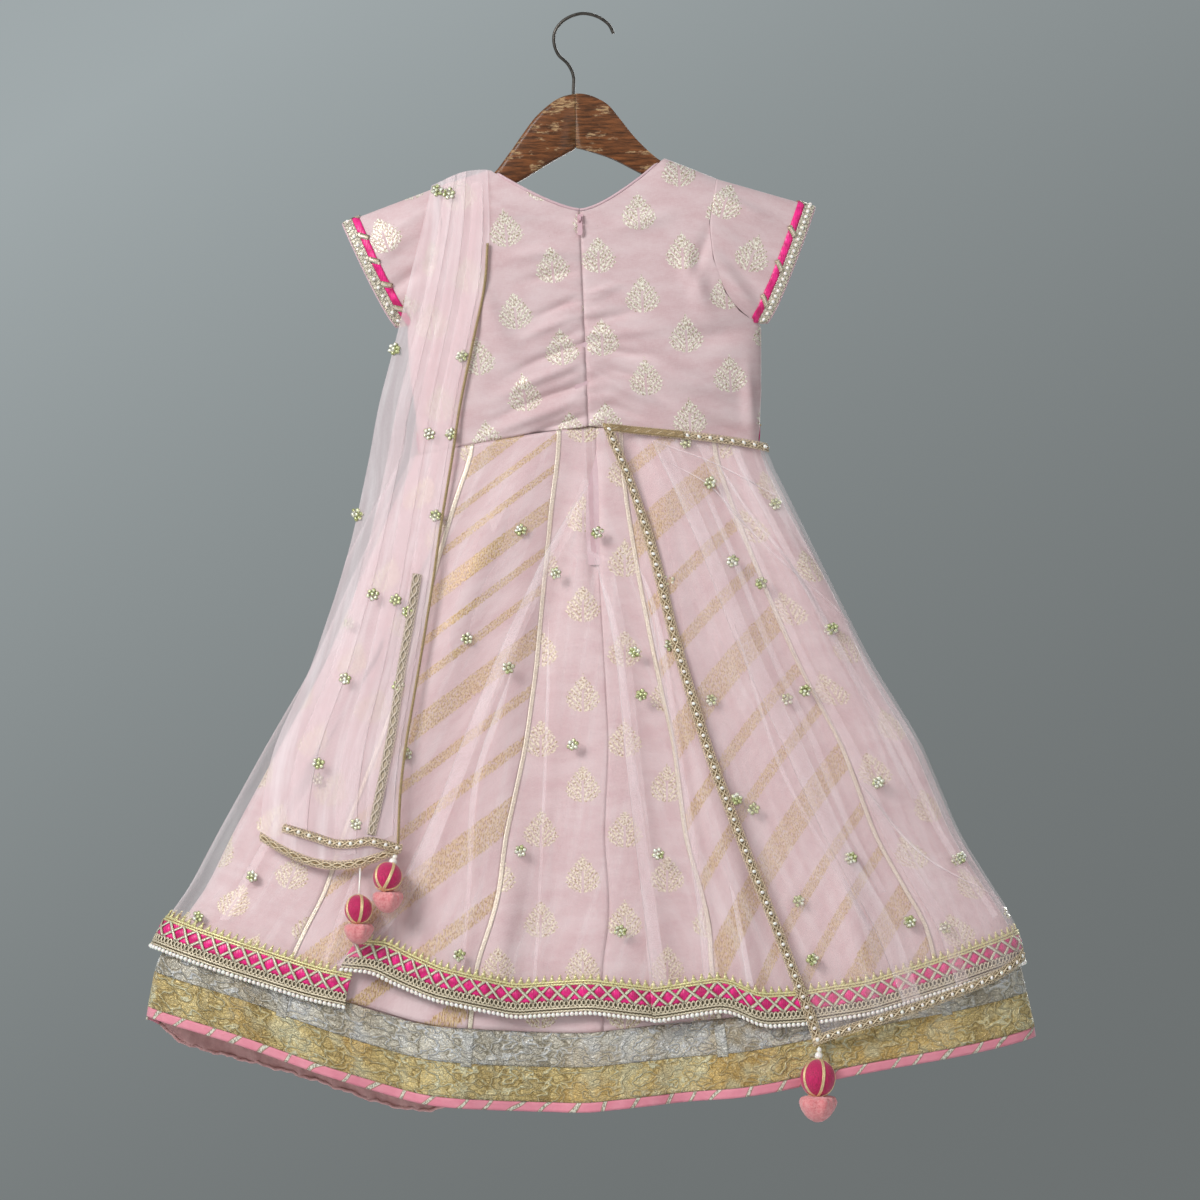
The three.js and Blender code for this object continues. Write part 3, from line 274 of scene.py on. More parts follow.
WOOD_HALF = 6.0  # half the thickness of the arms
WOOD_ROUND = 4.2
ARM_TOP = {"left": [(-7, -72.5), (-17, -75), (-27.6, -81), (-42, -94), (-54, -110), (-66, -127),
                    (-83, -147.6), (-103, -152.4), (-134, -162), (-149, -169), (-154, -181), (-142, -192)],
           "right": [(-7, -72.5), (3, -73), (13, -76), (25, -83), (36, -96), (52, -115.5), (74, -134.8),
                     (100, -144.4), (124, -153.9), (139, -158.6), (147, -168), (138, -181)]}
ARM_JOINT = {"left": -4.75, "right": -4.65}  # the glued joint between the arms is a hairline
ARM_UNDER = {
    "left": [(-104, -175), (-60, -155), (-30, -137), (-3, -122)],
    "right": [(100, -165), (60, -148), (28, -132), (-3, -122)],
}
wood, shader = material("worn_wood", Specular_IOR_Level=0.4)
spot = place_of(shader)
grain = noise(mapped(spot, (0.05, 0.5, 0.42)), 1.0, 6, 0.65)
varnish = blend(ramp(grain, 0.35, 0.7), "45260f", "87502a")
patches = noise(mapped(spot, (0.045, 0.06, 0.11), Location=(0.35, 0.0, 0.62)), 1.0, 5, 0.62)
streaks = noise(mapped(spot, (0.12, 0.3, 0.9), Rotation=(0, 0.62, 0)), 1.0, 4, 0.7)
bare = times(ramp(patches, 0.53, 0.62), ramp(streaks, 0.42, 0.56))
edge = node(shader, "ShaderNodeNewGeometry").outputs["Pointiness"]
rubbed = times(ramp(edge, 0.52, 0.6), ramp(streaks, 0.4, 0.6))
pale = maths("MAXIMUM", bare, times(rubbed, 0.75))
feed(shader, Base_Color=blend(pale, varnish, "b8946a"), Roughness=scaled(pale, 0.35, 0.33))
bump(shader, minus(grain, times(pale, 0.9)), 0.5, 0.0006)
for which in ("left", "right"):
    outline = [*ARM_TOP[which], *ARM_UNDER[which]]
    joint = ARM_JOINT[which]
    line = smooth_line(outline, 120)
    line[0, 0], line[-1, 0] = joint, joint
    keep = line[:, 0] <= joint + 0.01 if which == "left" else line[:, 0] >= joint - 0.01
    bm = bmesh.new()
    corners = [bm.verts.new((x * MM, -WOOD_HALF * MM, z * MM)) for x, z in line[keep]]
    face = bm.faces.new(corners)
    wall = bmesh.ops.extrude_face_region(bm, geom=[face])["geom"]
    bmesh.ops.translate(bm, vec=(0, 2 * WOOD_HALF * MM, 0),
                        verts=[v for v in wall if isinstance(v, bmesh.types.BMVert)])
    bmesh.ops.recalc_face_normals(bm, faces=bm.faces)
    rims = [e for e in bm.edges if abs(e.verts[0].co.y - e.verts[1].co.y) < 1e-6
            and not all(abs(v.co.x - joint * MM) < 1e-5 for v in e.verts)]
    bmesh.ops.bevel(bm, geom=rims, offset=WOOD_ROUND * MM, segments=4, profile=0.5, affect="EDGES",
                    material=-1, clamp_overlap=True)
    put(f"hanger_arm_{which}", bm, wood, ["hanger_wood"] if which == "left" else [])

# ---- Bodice --------------------------------------------------------------------------------------
# Pale pink brocade with woven leaf motifs in gold and silver thread, lined, cut as two backs that
# meet at the invisible zip and one front. The zip's pull gathers the cloth into drag creases.
BODICE = {
    "z": [-151, -192, -225, -256, -273, -286, -326, -370, -397, -420],
    "left": [-134, -127, -130, -140, -149, -159, -157, -151, -148, -146],
    "right": [124, 117.5, 121, 132, 145, 165, 165, 163.5, 162, 161],
    "depth": [20, 22, 23, 24, 24, 24, 23.5, 22, 21, 21],
}
TOP_LINE = {"x": [-219, -134, -84, 77, 124, 215], "z": [-192, -159, -143, -132.5, -151, -177]}
NECK_LEFT, NECK_RIGHT = (-84, -143), (77, -132.5)
SHOULDER_ROUND = 37
UNDERARM_Z = -286
WAIST_Z, HEM_Z = -390, -1011
ZIP_TOP, ZIP_END = (-1, -184), (12, -498)
SEAM = 0.3
BROCADE, NET = 1.6, 1.0
WAIST_SQUARENESS, HEM_SQUARENESS = 4, 2.3


def mix(a, b, t):
    return a + (b - a) * t


def smooth(t):
    t = np.clip(t, 0, 1)
    return t * t * (3 - 2 * t)


def read(table, column, at):
    """Reads one column of a table along its first column, in straight lines."""
    along = next(iter(table))
    order = np.argsort(table[along])
    return np.interp(at, np.take(table[along], order), np.take(table[column], order))


def bell(at, centre, width):
    return np.exp(-(((at - centre) / width) ** 2))


def roundness(s, squareness):
    return np.sqrt(np.maximum(0, 1 - np.abs(s) ** squareness))


def points(x, y, z):
    return np.stack(np.broadcast_arrays(x, y, z), -1).astype(float)


def body_depth(x, z):
    """Half depth of the bodice and sleeves, falling to nothing at the side seams and the top line."""
    below = np.clip((read(TOP_LINE, "z", x) - z) / SHOULDER_ROUND, 0, 1)
    low = np.minimum(z, UNDERARM_Z)
    rise = np.maximum(0, z - UNDERARM_Z)
    inset = np.minimum(np.hypot(x - read(BODICE, "left", low), rise),
                       np.hypot(read(BODICE, "right", low) - x, rise))
    s = 1 - np.clip(inset / 156, 0, 1)
    depth = mix(read(BODICE, "depth", z), 14, smooth((np.abs(x + 4) - 125) / 95))
    return depth * np.sqrt(1 - (1 - below) ** 2) * roundness(s, WAIST_SQUARENESS)


def body_point(side, x, z):
    return points(x, -side * (SEAM + body_depth(x, z)), z)


def zip_x(z):
    return mix(ZIP_TOP[0], ZIP_END[0], (ZIP_TOP[1] - z) / (ZIP_TOP[1] - ZIP_END[1]))


def waist_z(s):
    return -379 - np.where(s < 0, 26, 18) * np.abs(s) ** 1.2


def bodice_top(side, x):
    left = x < ZIP_TOP[0]
    part = (x - ZIP_TOP[0]) / (np.where(left, NECK_LEFT[0], NECK_RIGHT[0]) - ZIP_TOP[0])
    lowest = -182 if side > 0 else -226
    neck = mix(lowest, np.where(left, NECK_LEFT[1], NECK_RIGHT[1]),
               np.clip(part, 0, 1) ** (1.5 if side > 0 else 2))
    return np.where(part >= 1, read(TOP_LINE, "z", x), neck)


def across(s, low, high):
    return mix(low, high, (s + 1) / 2)


def bodice_s(x, z):
    left, right = read(BODICE, "left", z), read(BODICE, "right", z)
    return np.clip(2 * (x - left) / (right - left) - 1, -1, 1)


def bodice_form(side, start, end):
    """Surface between two edges, each a function of z that gives the angle round the section."""
    def form(u, v):
        top_s = -np.cos(mix(start(-151), end(-151), u))
        waist_s = -np.cos(mix(start(WAIST_Z), end(WAIST_Z), u))
        top = bodice_top(side, across(top_s, BODICE["left"][0], BODICE["right"][0]))
        z = mix(top, waist_z(waist_s) + SEAM / 2, v)
        s = -np.cos(mix(start(z), end(z), u))
        return body_point(side, across(s, read(BODICE, "left", z), read(BODICE, "right", z)), z)
    return form


def left_edge(z):
    return 0 * z


def right_edge(z):
    return 0 * z + math.pi


def zip_edge(shift):
    return lambda z: np.arccos(-bodice_s(zip_x(z) + shift, z))


def normal_of(form, u, v, step=0.003):
    """Unit normals of a form, found by small steps."""
    along_u = form(np.minimum(1, u + step), v) - form(np.maximum(0, u - step), v)
    along_v = form(u, np.minimum(1, v + step)) - form(u, np.maximum(0, v - step))
    normal = np.cross(along_u, along_v)
    return normal / np.maximum(np.linalg.norm(normal, axis=-1, keepdims=True), 1e-9)


def moved_out(form, side, distance):
    """The form moved off the garment's middle; distance is a number or a function of the points."""
    def moved(u, v):
        spots = form(u, v)
        far = distance(spots) if callable(distance) else distance
        return spots - side * normal_of(form, u, v) * np.broadcast_to(far, u.shape)[..., None]
    return moved


def creased(form, side, creases):
    """Adds soft troughs and ridges: each runs from one place to another on the (x, z) plane."""
    def lift(spots):
        x, z = spots[..., 0], spots[..., 2]
        total = np.zeros_like(x)
        for x0, z0, x1, z1, width, height in creases:
            run = np.array([x1 - x0, z1 - z0], float)
            length = np.hypot(*run)
            run /= length
            ahead = ((x - x0) * run[0] + (z - z0) * run[1]) / length
            aside = (x - x0) * run[1] - (z - z0) * run[0] + 0.12 * length * (ahead - 0.5) ** 2
            total = total + 3.4 * height * bell(aside, 0, 1.2 * width) * bell(ahead, 0.42, 0.42)
        return total
    return moved_out(form, side, lift)


def turned(x0, z0, degrees=0.0):
    """Lays the weave on the (x, z) plane, with a motif's place at x0, z0, turned by the grain's lean."""
    c, s = math.cos(math.radians(degrees)), math.sin(math.radians(degrees))
    return lambda x, z: np.stack([(x - x0) * c + (z - z0) * s, (z - z0) * c - (x - x0) * s], -1)


def read_all(items, name):
    """One vector of each vertex or face, as rows of three."""
    values = np.empty(len(items) * 3)
    items.foreach_get(name, values)
    return values.reshape(-1, 3)


def cloth(name, form, columns, rows, origin=(0, 0), lay=None, spread=None):
    """A shell of cloth on a form. Its map, cloth, holds the place in the weave in metres: across from
    the middle of the piece and down from its top, or what lay makes of each (x, z)."""
    bm = bmesh.new()
    bmesh.ops.create_grid(bm, x_segments=columns, y_segments=rows, size=0.5)
    mesh = mesh_of(bm, name)
    unit = read_all(mesh.vertices, "co")
    u, v = unit[:, 0] + 0.5, 0.5 - unit[:, 1]
    if spread:
        v = spread(v)
    spots = form(u, v)
    mesh.vertices.foreach_set("co", (spots * MM).ravel())
    if lay:
        weave = lay(spots[:, 0], spots[:, 2])
    else:
        order = np.lexsort((unit[:, 0], -unit[:, 1]))
        lattice = spots[order].reshape(rows + 1, columns + 1, 3)
        side_steps = np.linalg.norm(np.diff(lattice, axis=1), axis=2)
        run = np.concatenate([np.zeros((rows + 1, 1)), np.cumsum(side_steps, 1)], 1)
        run -= run[:, [columns // 2]]
        drop_steps = np.linalg.norm(np.diff(lattice, axis=0), axis=2).mean(1)
        drop = np.concatenate([[0], np.cumsum(drop_steps)])
        weave = np.empty((len(spots), 2))
        flat = np.stack([run, -np.repeat(drop[:, None], columns + 1, 1)], 2)
        weave[order] = flat.reshape(-1, 2) - np.array(origin)
    corner = np.empty(len(mesh.loops), int)
    mesh.loops.foreach_get("vertex_index", corner)
    mesh.uv_layers.new(name="cloth").data.foreach_set("uv", (weave[corner] * MM).ravel())
    mesh.update()
    outward, place = read_all(mesh.polygons, "normal")[:, 1], read_all(mesh.polygons, "center")[:, 1]
    if (outward * np.sign(place)).sum() < 0:
        mesh.flip_normals()
    return mesh


def thicken(piece, thick, offset=0.0):
    shell = piece.modifiers.new("thickness", "SOLIDIFY")
    shell.thickness = thick * MM
    shell.offset = offset
    return piece


def weave_place(shader):
    """The cloth map in millimetres."""
    return mapped(node(shader, "ShaderNodeUVMap", uv_map="cloth").outputs["UV"], (1 / MM, 1 / MM, 1 / MM))


def group(name, inputs, outputs):
    """A new node group with named inputs (and their defaults) and outputs."""
    tree = bpy.data.node_groups.new(name, "ShaderNodeTree")
    for label, (kind, value) in inputs.items():
        socket = tree.interface.new_socket(label, in_out="INPUT", socket_type=f"NodeSocket{kind}")
        if value is not None:
            socket.default_value = value
    for label, kind in outputs.items():
        tree.interface.new_socket(label, in_out="OUTPUT", socket_type=f"NodeSocket{kind}")
    return tree, node(tree, "NodeGroupInput").outputs, node(tree, "NodeGroupOutput")


def use(made, **values):
    """Places a node group in a material and returns its outputs."""
    return node(values["Place"], "ShaderNodeGroup", values, node_tree=made).outputs


# Broken metal thread: the flat thread floats over the silk in short grains. Its tone, pale or tan in patches,
# is a painted glint: paler where the thread would turn to the light.
# Cover is how closely the grains lie, from 0 for none to 1 for the heart of a motif.
fleck_group, given, out = group("thread_flecks", {
    "Place": ("Vector", None), "Cover": ("Float", 1.0)}, {"Flecks": "Float", "Tone": "Float"})
grain = noise(mapped(given["Place"], (0.95, 0.6, 1), Rotation=(0, 0, 0.5)), 0.62, 3, 0.7)
least = scaled(given["Cover"], -0.42, 0.78)
feed(out, Flecks=ramp(minus(grain, least), 0.0, 0.07))
turns = noise(mapped(given["Place"], (1.0, 0.8, 1), Location=(31, 17, 0)), 0.6, 3, 0.75)
feed(out, Tone=ramp(turns, 0.4, 0.56))

# Leaf motif: a pointed tree of small leaves on a stem, in columns, every second one half a step down.
LEAF_FOOT, LEAF_HEIGHT, LEAF_HALF_WIDTH = 17.5, 36.5, 17.0
leaf_group, given, out = group("leaf_motif", {
    "Place": ("Vector", None), "Across": ("Float", 38.5), "Down": ("Float", 76.0)}, {"Cover": "Float"})
split = axes(given["Place"])
column = maths("DIVIDE", split["X"], given["Across"])
whole = maths("ROUND", column)
a = maths("ABSOLUTE", times(minus(column, whole), given["Across"]))
odd = maths("ABSOLUTE", maths("MODULO", whole, 2.0))
row = scaled(odd, 0.5, maths("DIVIDE", split["Y"], given["Down"]))
b = times(minus(row, maths("ROUND", row)), given["Down"])
t = maths("DIVIDE", plus(b, LEAF_FOOT), LEAF_HEIGHT, clamp=True)
swell = maths("SINE", times(maths("POWER", t, 0.6), math.pi))
lobes = times(maths("SINE", times(b, 1.5)), 0.8)
ragged = times(minus(noise(given["Place"], 0.35, 2, 0.6), 0.5), 5.0)
width = plus(times(swell, LEAF_HALF_WIDTH), plus(lobes, ragged))
inside = ramp(minus(width, a), -1.5, 3.5)
stem = times(ramp(a, 1.5, 0.5), ramp(b, 5.0, 1.0))
leaf = maths("PINGPONG", minus(b, times(a, 1.1)), 2.7)
gaps = times(ramp(leaf, 1.0, 0.3), ramp(a, 0.5, 3.0))
plain = maths("MAXIMUM", times(stem, 0.8), times(gaps, 0.55))
feed(out, Cover=times(inside, minus(1.0, plain)))

# Fine weave: fill threads across, the warp down, and broad soft patches of lighter and deeper pink, the slub
# of the silk with painted soft shading.
weave_group, given, out = group("silk_weave", {"Place": ("Vector", None)},
                                {"Height": "Float", "Slub": "Float"})
fill = noise(mapped(given["Place"], (0.25, 1.5, 1)), 1.0, 2)
warp = noise(mapped(given["Place"], (1.5, 0.2, 1)), 1.0, 2)
feed(out, Height=scaled(fill, 0.6, times(warp, 0.4)),
     Slub=noise(mapped(given["Place"], (0.02, 0.05, 1)), 1.0, 4, 0.65))

PINK_LIGHT, PINK_DEEP = "dbc1c2", "cfacae"
THREAD_TAN, THREAD_CREAM = "a28a6c", "faf3e4"
STRIPE_REPEAT, NARROW_STRIPE = 124.0, 43.5


def brocade_paint(name, striped=False, down_step=76.0, dull=THREAD_TAN, bright=THREAD_CREAM):
    """Pink silk with leaf motifs, or with slanting lurex stripes, one wide and two narrow by turns."""
    made, shader = material(name, Sheen_Weight=0.2, Sheen_Roughness=0.45, Specular_IOR_Level=0.35)
    place = weave_place(shader)
    silk = use(weave_group, Place=place)
    # the ground pink runs lighter and deeper in broad patches: slub of the silk and painted soft shading
    ground = blend(ramp(silk["Slub"], 0.3, 0.7), PINK_LIGHT, PINK_DEEP)
    ground = blend(times(ramp(silk["Height"], 0.42, 0.6), 0.18), ground, "e9d9da")
    if striped:
        climb = axes(place)["Y"]
        wave = times(minus(noise(place, 0.3, 3, 0.7), 0.5), 3.0)
        part = maths("PINGPONG", plus(climb, wave), STRIPE_REPEAT / 2)
        wide = ramp(part, 13.5, 10.0)
        narrow = ramp(maths("ABSOLUTE", minus(part, NARROW_STRIPE)), 7.0, 4.0)
        cover = times(maths("MAXIMUM", wide, narrow), 0.9)
    else:
        cover = use(leaf_group, Place=place, Down=down_step)["Cover"]
    thread = use(fleck_group, Place=place, Cover=cover)
    metal = times(thread["Flecks"], 0.95)
    # the thread's colour runs from dull to bright by its tone: a painted glint on the metal thread
    tone = times(thread["Tone"], 0.6 if striped else 1.0)
    feed(shader, Base_Color=blend(metal, ground, blend(tone, dull, bright)), Metallic=times(metal, 0.22),
         Roughness=scaled(metal, -0.13, 0.62))
    height = plus(times(silk["Height"], 0.5), times(metal, 0.9))
    bump(shader, height, 0.4, 0.0006)
    return made


brocade = brocade_paint("leaf_brocade")

back_left_form = bodice_form(1, left_edge, zip_edge(-SEAM / 2))
back_right_form = bodice_form(1, zip_edge(SEAM / 2), right_edge)
front_form = bodice_form(-1, left_edge, right_edge)


def puckers(spots):
    """Small uneven gathers along both sides of the zip."""
    x, z = spots[..., 0], spots[..., 2]
    aside = np.abs(x - zip_x(z))
    ripple = np.sin(z / 2.6 + 1.3 * np.sin(z / 11.0)) + 0.6 * np.sin(z / 4.3 + aside / 14.0 + 2.0)
    return 0.6 * ripple * np.exp(-aside / 12.0) - 1.1 * np.exp(-aside / 3.0)


BACK_CREASES = [
    # from x, z to x, z, half width, height
    (2, -262, -52, -282, 3.0, -0.9), (2, -275, -60, -300, 3.5, 1.0), (4, -300, -72, -333, 3.2, -1.2),
    (4, -318, -80, -352, 3.6, 1.3), (5, -337, -84, -372, 3.0, -1.3), (6, -352, -92, -388, 4.0, 1.5),
    (6, -366, -70, -397, 2.8, -1.2), (7, -376, -48, -398, 2.6, 1.1), (-2, -215, -78, -226, 5.0, 0.9),
    (-4, -236, -60, -247, 3.5, -0.7), (-90, -176, -30, -192, 4.5, 0.8), (-96, -250, -60, -322, 8.0, 1.2),
    (3, -258, 40, -250, 3.0, 0.8), (4, -284, 62, -272, 4.0, -0.9), (4, -296, 74, -292, 3.4, 0.9),
    (5, -308, 96, -318, 3.2, -1.0), (30, -300, 118, -342, 6.4, 1.5), (48, -338, 104, -372, 4.0, -0.9),
    (5, -322, 66, -338, 3.6, -1.0), (6, -330, 92, -366, 4.4, 1.3), (7, -352, 72, -377, 3.4, -1.0),
    (60, -330, 160, -352, 9.0, 1.7), (92, -300, 158, -292, 8.0, -1.6), (96, -226, 118, -280, 7.5, 1.7),
    (118, -196, 96, -262, 5.0, -0.9), (30, -200, 96, -180, 6.0, 0.7), (150, -330, 158, -396, 5.0, 1.4),
    (108, -372, 160, -392, 6.5, -1.6),
]
FRONT_CREASES = [
    (-20, -240, -110, -256, 7.0, 1.0), (10, -262, 100, -284, 7.0, -1.0), (-40, -300, -140, -330, 8.0, 1.2),
    (30, -318, 140, -344, 8.0, 1.1), (-10, -350, -120, -386, 6.0, -1.1), (20, -360, 130, -388, 6.0, 1.2),
    (-100, -180, -128, -272, 7.0, 1.1), (92, -176, 124, -268, 7.0, 1.1),
]
for k in range(17):  # the zip's own short drag lines
    z0 = -258 - 8 * k
    run = 26 + 12 * math.sin(2.1 * k)
    height = (-0.42, 0.4)[k % 2]
    BACK_CREASES.append((zip_x(z0) - 1, z0, zip_x(z0) - run, z0 - 0.42 * run, 1.6 + 0.4 * math.cos(1.7 * k),
                         height))
    BACK_CREASES.append((zip_x(z0) + 1, z0 + 3, zip_x(z0) + 0.7 * run, z0 + 3 + 0.12 * run, 1.6,
                         0.8 * height))
near_top = lambda t: t ** 1.35
for name, form, side, lay, columns in (
    ("bodice_back_left", back_left_form, 1, turned(-26.4, -231, 6.5), 72),
    ("bodice_back_right", back_right_form, 1, turned(16, -221.7, 2.5), 72),
    ("bodice_front", front_form, -1, turned(0, -240), 64),
):
    shaped = creased(form, side, BACK_CREASES if side > 0 else FRONT_CREASES)
    if side > 0:
        shaped = moved_out(shaped, 1, puckers)
    made = cloth(name, shaped, columns, 118 if side > 0 else 60, lay=lay, spread=near_top)
    piece = thicken(put(f"{name}_cloth", made, brocade, [name]), BROCADE)

# ---- Neck piping, zip and its pull ---------------------------------------------------------------
# A narrow satin piping binds the neckline. The invisible zip is sewn behind the seam: only its
# slider and the drop-shaped pull, enamelled in the cloth's pink, stand outside at the top.
satin, shader = material("pink_satin", Sheen_Weight=0.2, Specular_IOR_Level=0.5)
spot = place_of(shader)
feed(shader, Base_Color=blend(noise(spot, 0.12, 3), "dcbfc4", "cda6ad"))
split = axes(spot)
twill = maths("SINE", times(plus(split["X"], split["Z"]), 3.6))
feed(shader, Roughness=scaled(twill, 0.06, 0.42))
bump(shader, twill, 0.25, 0.0003)

PIPING_RADIUS = 1.25
ride_off = PIPING_RADIUS + 0.1
line = []
for form, side, run in ((back_left_form, 1, np.linspace(1, 0.602, 44)),
                        (front_form, -1, np.linspace(0.309, 0.714, 90)),
                        (back_right_form, 1, np.linspace(0.395, 0, 44))):
    line.extend(form(run, 0 * run))
line = np.array(line)
along = np.gradient(line, axis=0)
along /= np.maximum(np.linalg.norm(along, axis=1, keepdims=True), 1e-9)
up = np.array([0, 0, 1]) - along * along[:, 2:3]
up[:, 1] = 0
line = line + up / np.linalg.norm(up, axis=1, keepdims=True) * ride_off
for _ in range(3):
    line[1:-1] = (line[:-2] + 2 * line[1:-1] + line[2:]) / 4
cord("neckline_piping", line, PIPING_RADIUS, 8, satin, ["neck_piping"])
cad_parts["zip_tape"].data.materials.clear()
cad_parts["zip_tape"].data.materials.append(satin)

enamel, shader = material("pink_enamel", Coat_Weight=0.4, Specular_IOR_Level=0.6)
spot = place_of(shader)
chips = ramp(noise(spot, 0.9, 4, 0.7), 0.6, 0.7)
feed(shader, Base_Color=blend(chips, "dcb4bc", "bda9a2"), Metallic=times(chips, 0.8),
     Roughness=scaled(chips, 0.2, 0.28))
bump(shader, noise(spot, 1.5), 0.15, 0.0002)
for name, body in (("zip_slider", "gown"), ("zip_pull_tab", "pull_tab")):
    bm = bmesh.new()
    bm.from_mesh(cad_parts[name].data)
    bmesh.ops.remove_doubles(bm, verts=bm.verts, dist=0.00002)
    bmesh.ops.dissolve_limit(bm, angle_limit=0.02, verts=bm.verts, edges=bm.edges)
    sharp = [e for e in bm.edges if len(e.link_faces) == 2 and e.calc_face_angle(0) > 0.7]
    bmesh.ops.bevel(bm, geom=sharp, offset=0.0002, segments=2, profile=0.5, affect="EDGES", material=-1,
                    clamp_overlap=True)
    put(f"{name}_enamelled", bm, enamel, [name], smooth=False, body=body)

# ---- Sleeves and their trims ---------------------------------------------------------------------
# Short set-in sleeves, folded flat along the shoulder. Each cuff carries a magenta ribbon with
# slanting gold ties, a beaded lace in gold and silver, and a narrow satin edge.
CUFFS = {"left": [(-169.5, -287), (-181, -277), (-219, -192.2)],
         "right": [(171, -283), (182, -272), (215, -177.2)]}
ARMHOLES = {"left": (-285, -159.7), "right": (-283, -151.5)}


def sleeve_form(which):
    out = 1 if which == "right" else -1

    def form(u, v):
        turn = np.cos((u - 0.5) * math.pi)
        az = mix(*ARMHOLES[which], turn)
        ax = sum(read(BODICE, which, az + step) for step in (-7, 0, 7)) / 3 + out * 0.1
        under, bend, tip = CUFFS[which]
        cx, cz = (mix(mix(under[k], bend[k], turn), mix(bend[k], tip[k], turn), turn) for k in (0, 1))
        x, z = mix(ax, cx, v), mix(az, cz, v)
        depth = body_depth(x, np.minimum(z, read(TOP_LINE, "z", x)))
        return points(x, np.where(u < 0.5, -1, 1) * np.where(u == 0.5, 0, depth), z)
    return form


def between(form, low, high):
    """The strip of a form between two places along v."""
    return lambda u, v: form(u, mix(low, high, v))


def course(form, side, samples=500):
    """Lays trims along a form's edge at v = 1. The place is (along the edge, in from it, out from the
    cloth), all in millimetres; returns the function that finds it and the edge's length."""
    a = np.linspace(0, 1, samples)
    edge = form(a, 1 + 0 * a)
    run = np.concatenate([[0], np.cumsum(np.linalg.norm(np.diff(edge, axis=0), axis=1))])
    deep = np.linalg.norm(edge - form(a, 0.97 + 0 * a), axis=1) / 0.03

    def at(along, inward, out):
        u = np.interp(along, run, a)
        v = 1 - inward / np.interp(u, a, deep)
        lift = side * np.broadcast_to(out, u.shape)[..., None]
        return form(u, v) - lift * normal_of(form, u, np.minimum(v, 1))
    return at, run[-1]


def repeat(name, shape, at, along, inward=0.0, out=0.0):
    """Joins copies of a small shape laid along a course. The shape's x runs along the edge, its z in
    from it and its y out from the cloth, in millimetres."""
    co = np.array([v.co for v in shape.verts])
    shape.verts.ensure_lookup_table()
    faces = [[v.index for v in f.verts] for f in shape.faces]
    shape.free()
    along, inward, out = (np.broadcast_to(np.asarray(k, float), np.shape(along)).ravel()
                          for k in (along, inward, out))
    spots = at((along[:, None] + co[:, 0]).ravel(), (inward[:, None] + co[:, 2]).ravel(),
               (out[:, None] + co[:, 1]).ravel())
    mesh = bpy.data.meshes.new(name)
    sizes = np.array([len(f) for f in faces])
    corners = np.concatenate(faces)
    count = len(along)
    mesh.vertices.add(len(spots))
    mesh.vertices.foreach_set("co", (spots * MM).ravel())
    mesh.loops.add(len(corners) * count)
    mesh.loops.foreach_set("vertex_index", (corners[None] + len(co) * np.arange(count)[:, None]).ravel())
    starts = np.concatenate([[0], np.cumsum(np.tile(sizes, count))[:-1]])
    mesh.polygons.add(len(sizes) * count)
    mesh.polygons.foreach_set("loop_start", starts)
    mesh.update(calc_edges=True)
    mesh.validate()
    bm = bmesh.new()
    bm.from_mesh(mesh)
    bmesh.ops.recalc_face_normals(bm, faces=bm.faces)
    bm.to_mesh(mesh)
    bm.free()
    return mesh


def sewn(name, shape, at, along, inward, out, paint):
    """One piece made of many copies of a small shape, sewn along a course."""
    return put(name, repeat(name, shape, at, along, inward, out), paint)


def strip_of_cloth(name, form, columns, rows, thick, paint, replaced=()):
    """A narrow trim: cloth on a form, given its thickness."""
    return thicken(put(name, cloth(name, form, columns, rows), paint, replaced), thick)


def bead(radius, rings=8):
    bm = bmesh.new()
    bmesh.ops.create_uvsphere(bm, u_segments=rings, v_segments=max(4, rings // 2 + 1), radius=radius)
    return bm


def ring(radius, thick, steps=12, sides=5, stretch=1.0):
    """A small loop of cord lying flat on the cloth."""
    bm = bmesh.new()
    section = bmesh.ops.create_circle(bm, segments=sides, radius=thick)["verts"]
    bmesh.ops.transform(bm, matrix=Matrix.Translation((radius, 0, 0)), verts=section)
    edges = list(bm.edges)
    bmesh.ops.spin(bm, geom=section + edges, axis=(0, 1, 0), cent=(0, 0, 0), angle=2 * math.pi, steps=steps,
                   use_merge=True)
    bmesh.ops.scale(bm, vec=(1, 1, stretch), verts=bm.verts)
    return bm


def strip(length, wide, thick, steps=8, lean=0.0, arch=0.0, ridge=0.0):
    """A length of flat ribbon, turned by lean from the edge's direction; arch lifts its middle."""
    bm = bmesh.new()
    bmesh.ops.create_grid(bm, x_segments=steps, y_segments=2, size=0.5)
    for vert in bm.verts:
        x, w = vert.co.x * length, vert.co.y * wide
        up_off = arch * (1 - (2 * vert.co.x) ** 2) + ridge * (1 - (2 * vert.co.y) ** 2)
        vert.co = (x * math.cos(lean) - w * math.sin(lean), up_off, x * math.sin(lean) + w * math.cos(lean))
    bmesh.ops.solidify(bm, geom=bm.faces[:] + bm.edges[:] + bm.verts[:], thickness=thick)
    return bm


def steps_along(total, pitch, start=0.0, end=0.0):
    """Even places along a course, close to a pitch apart, inside its two ends."""
    count = max(1, round((total - start - end) / pitch))
    return start + (np.arange(count) + 0.5) * (total - start - end) / count


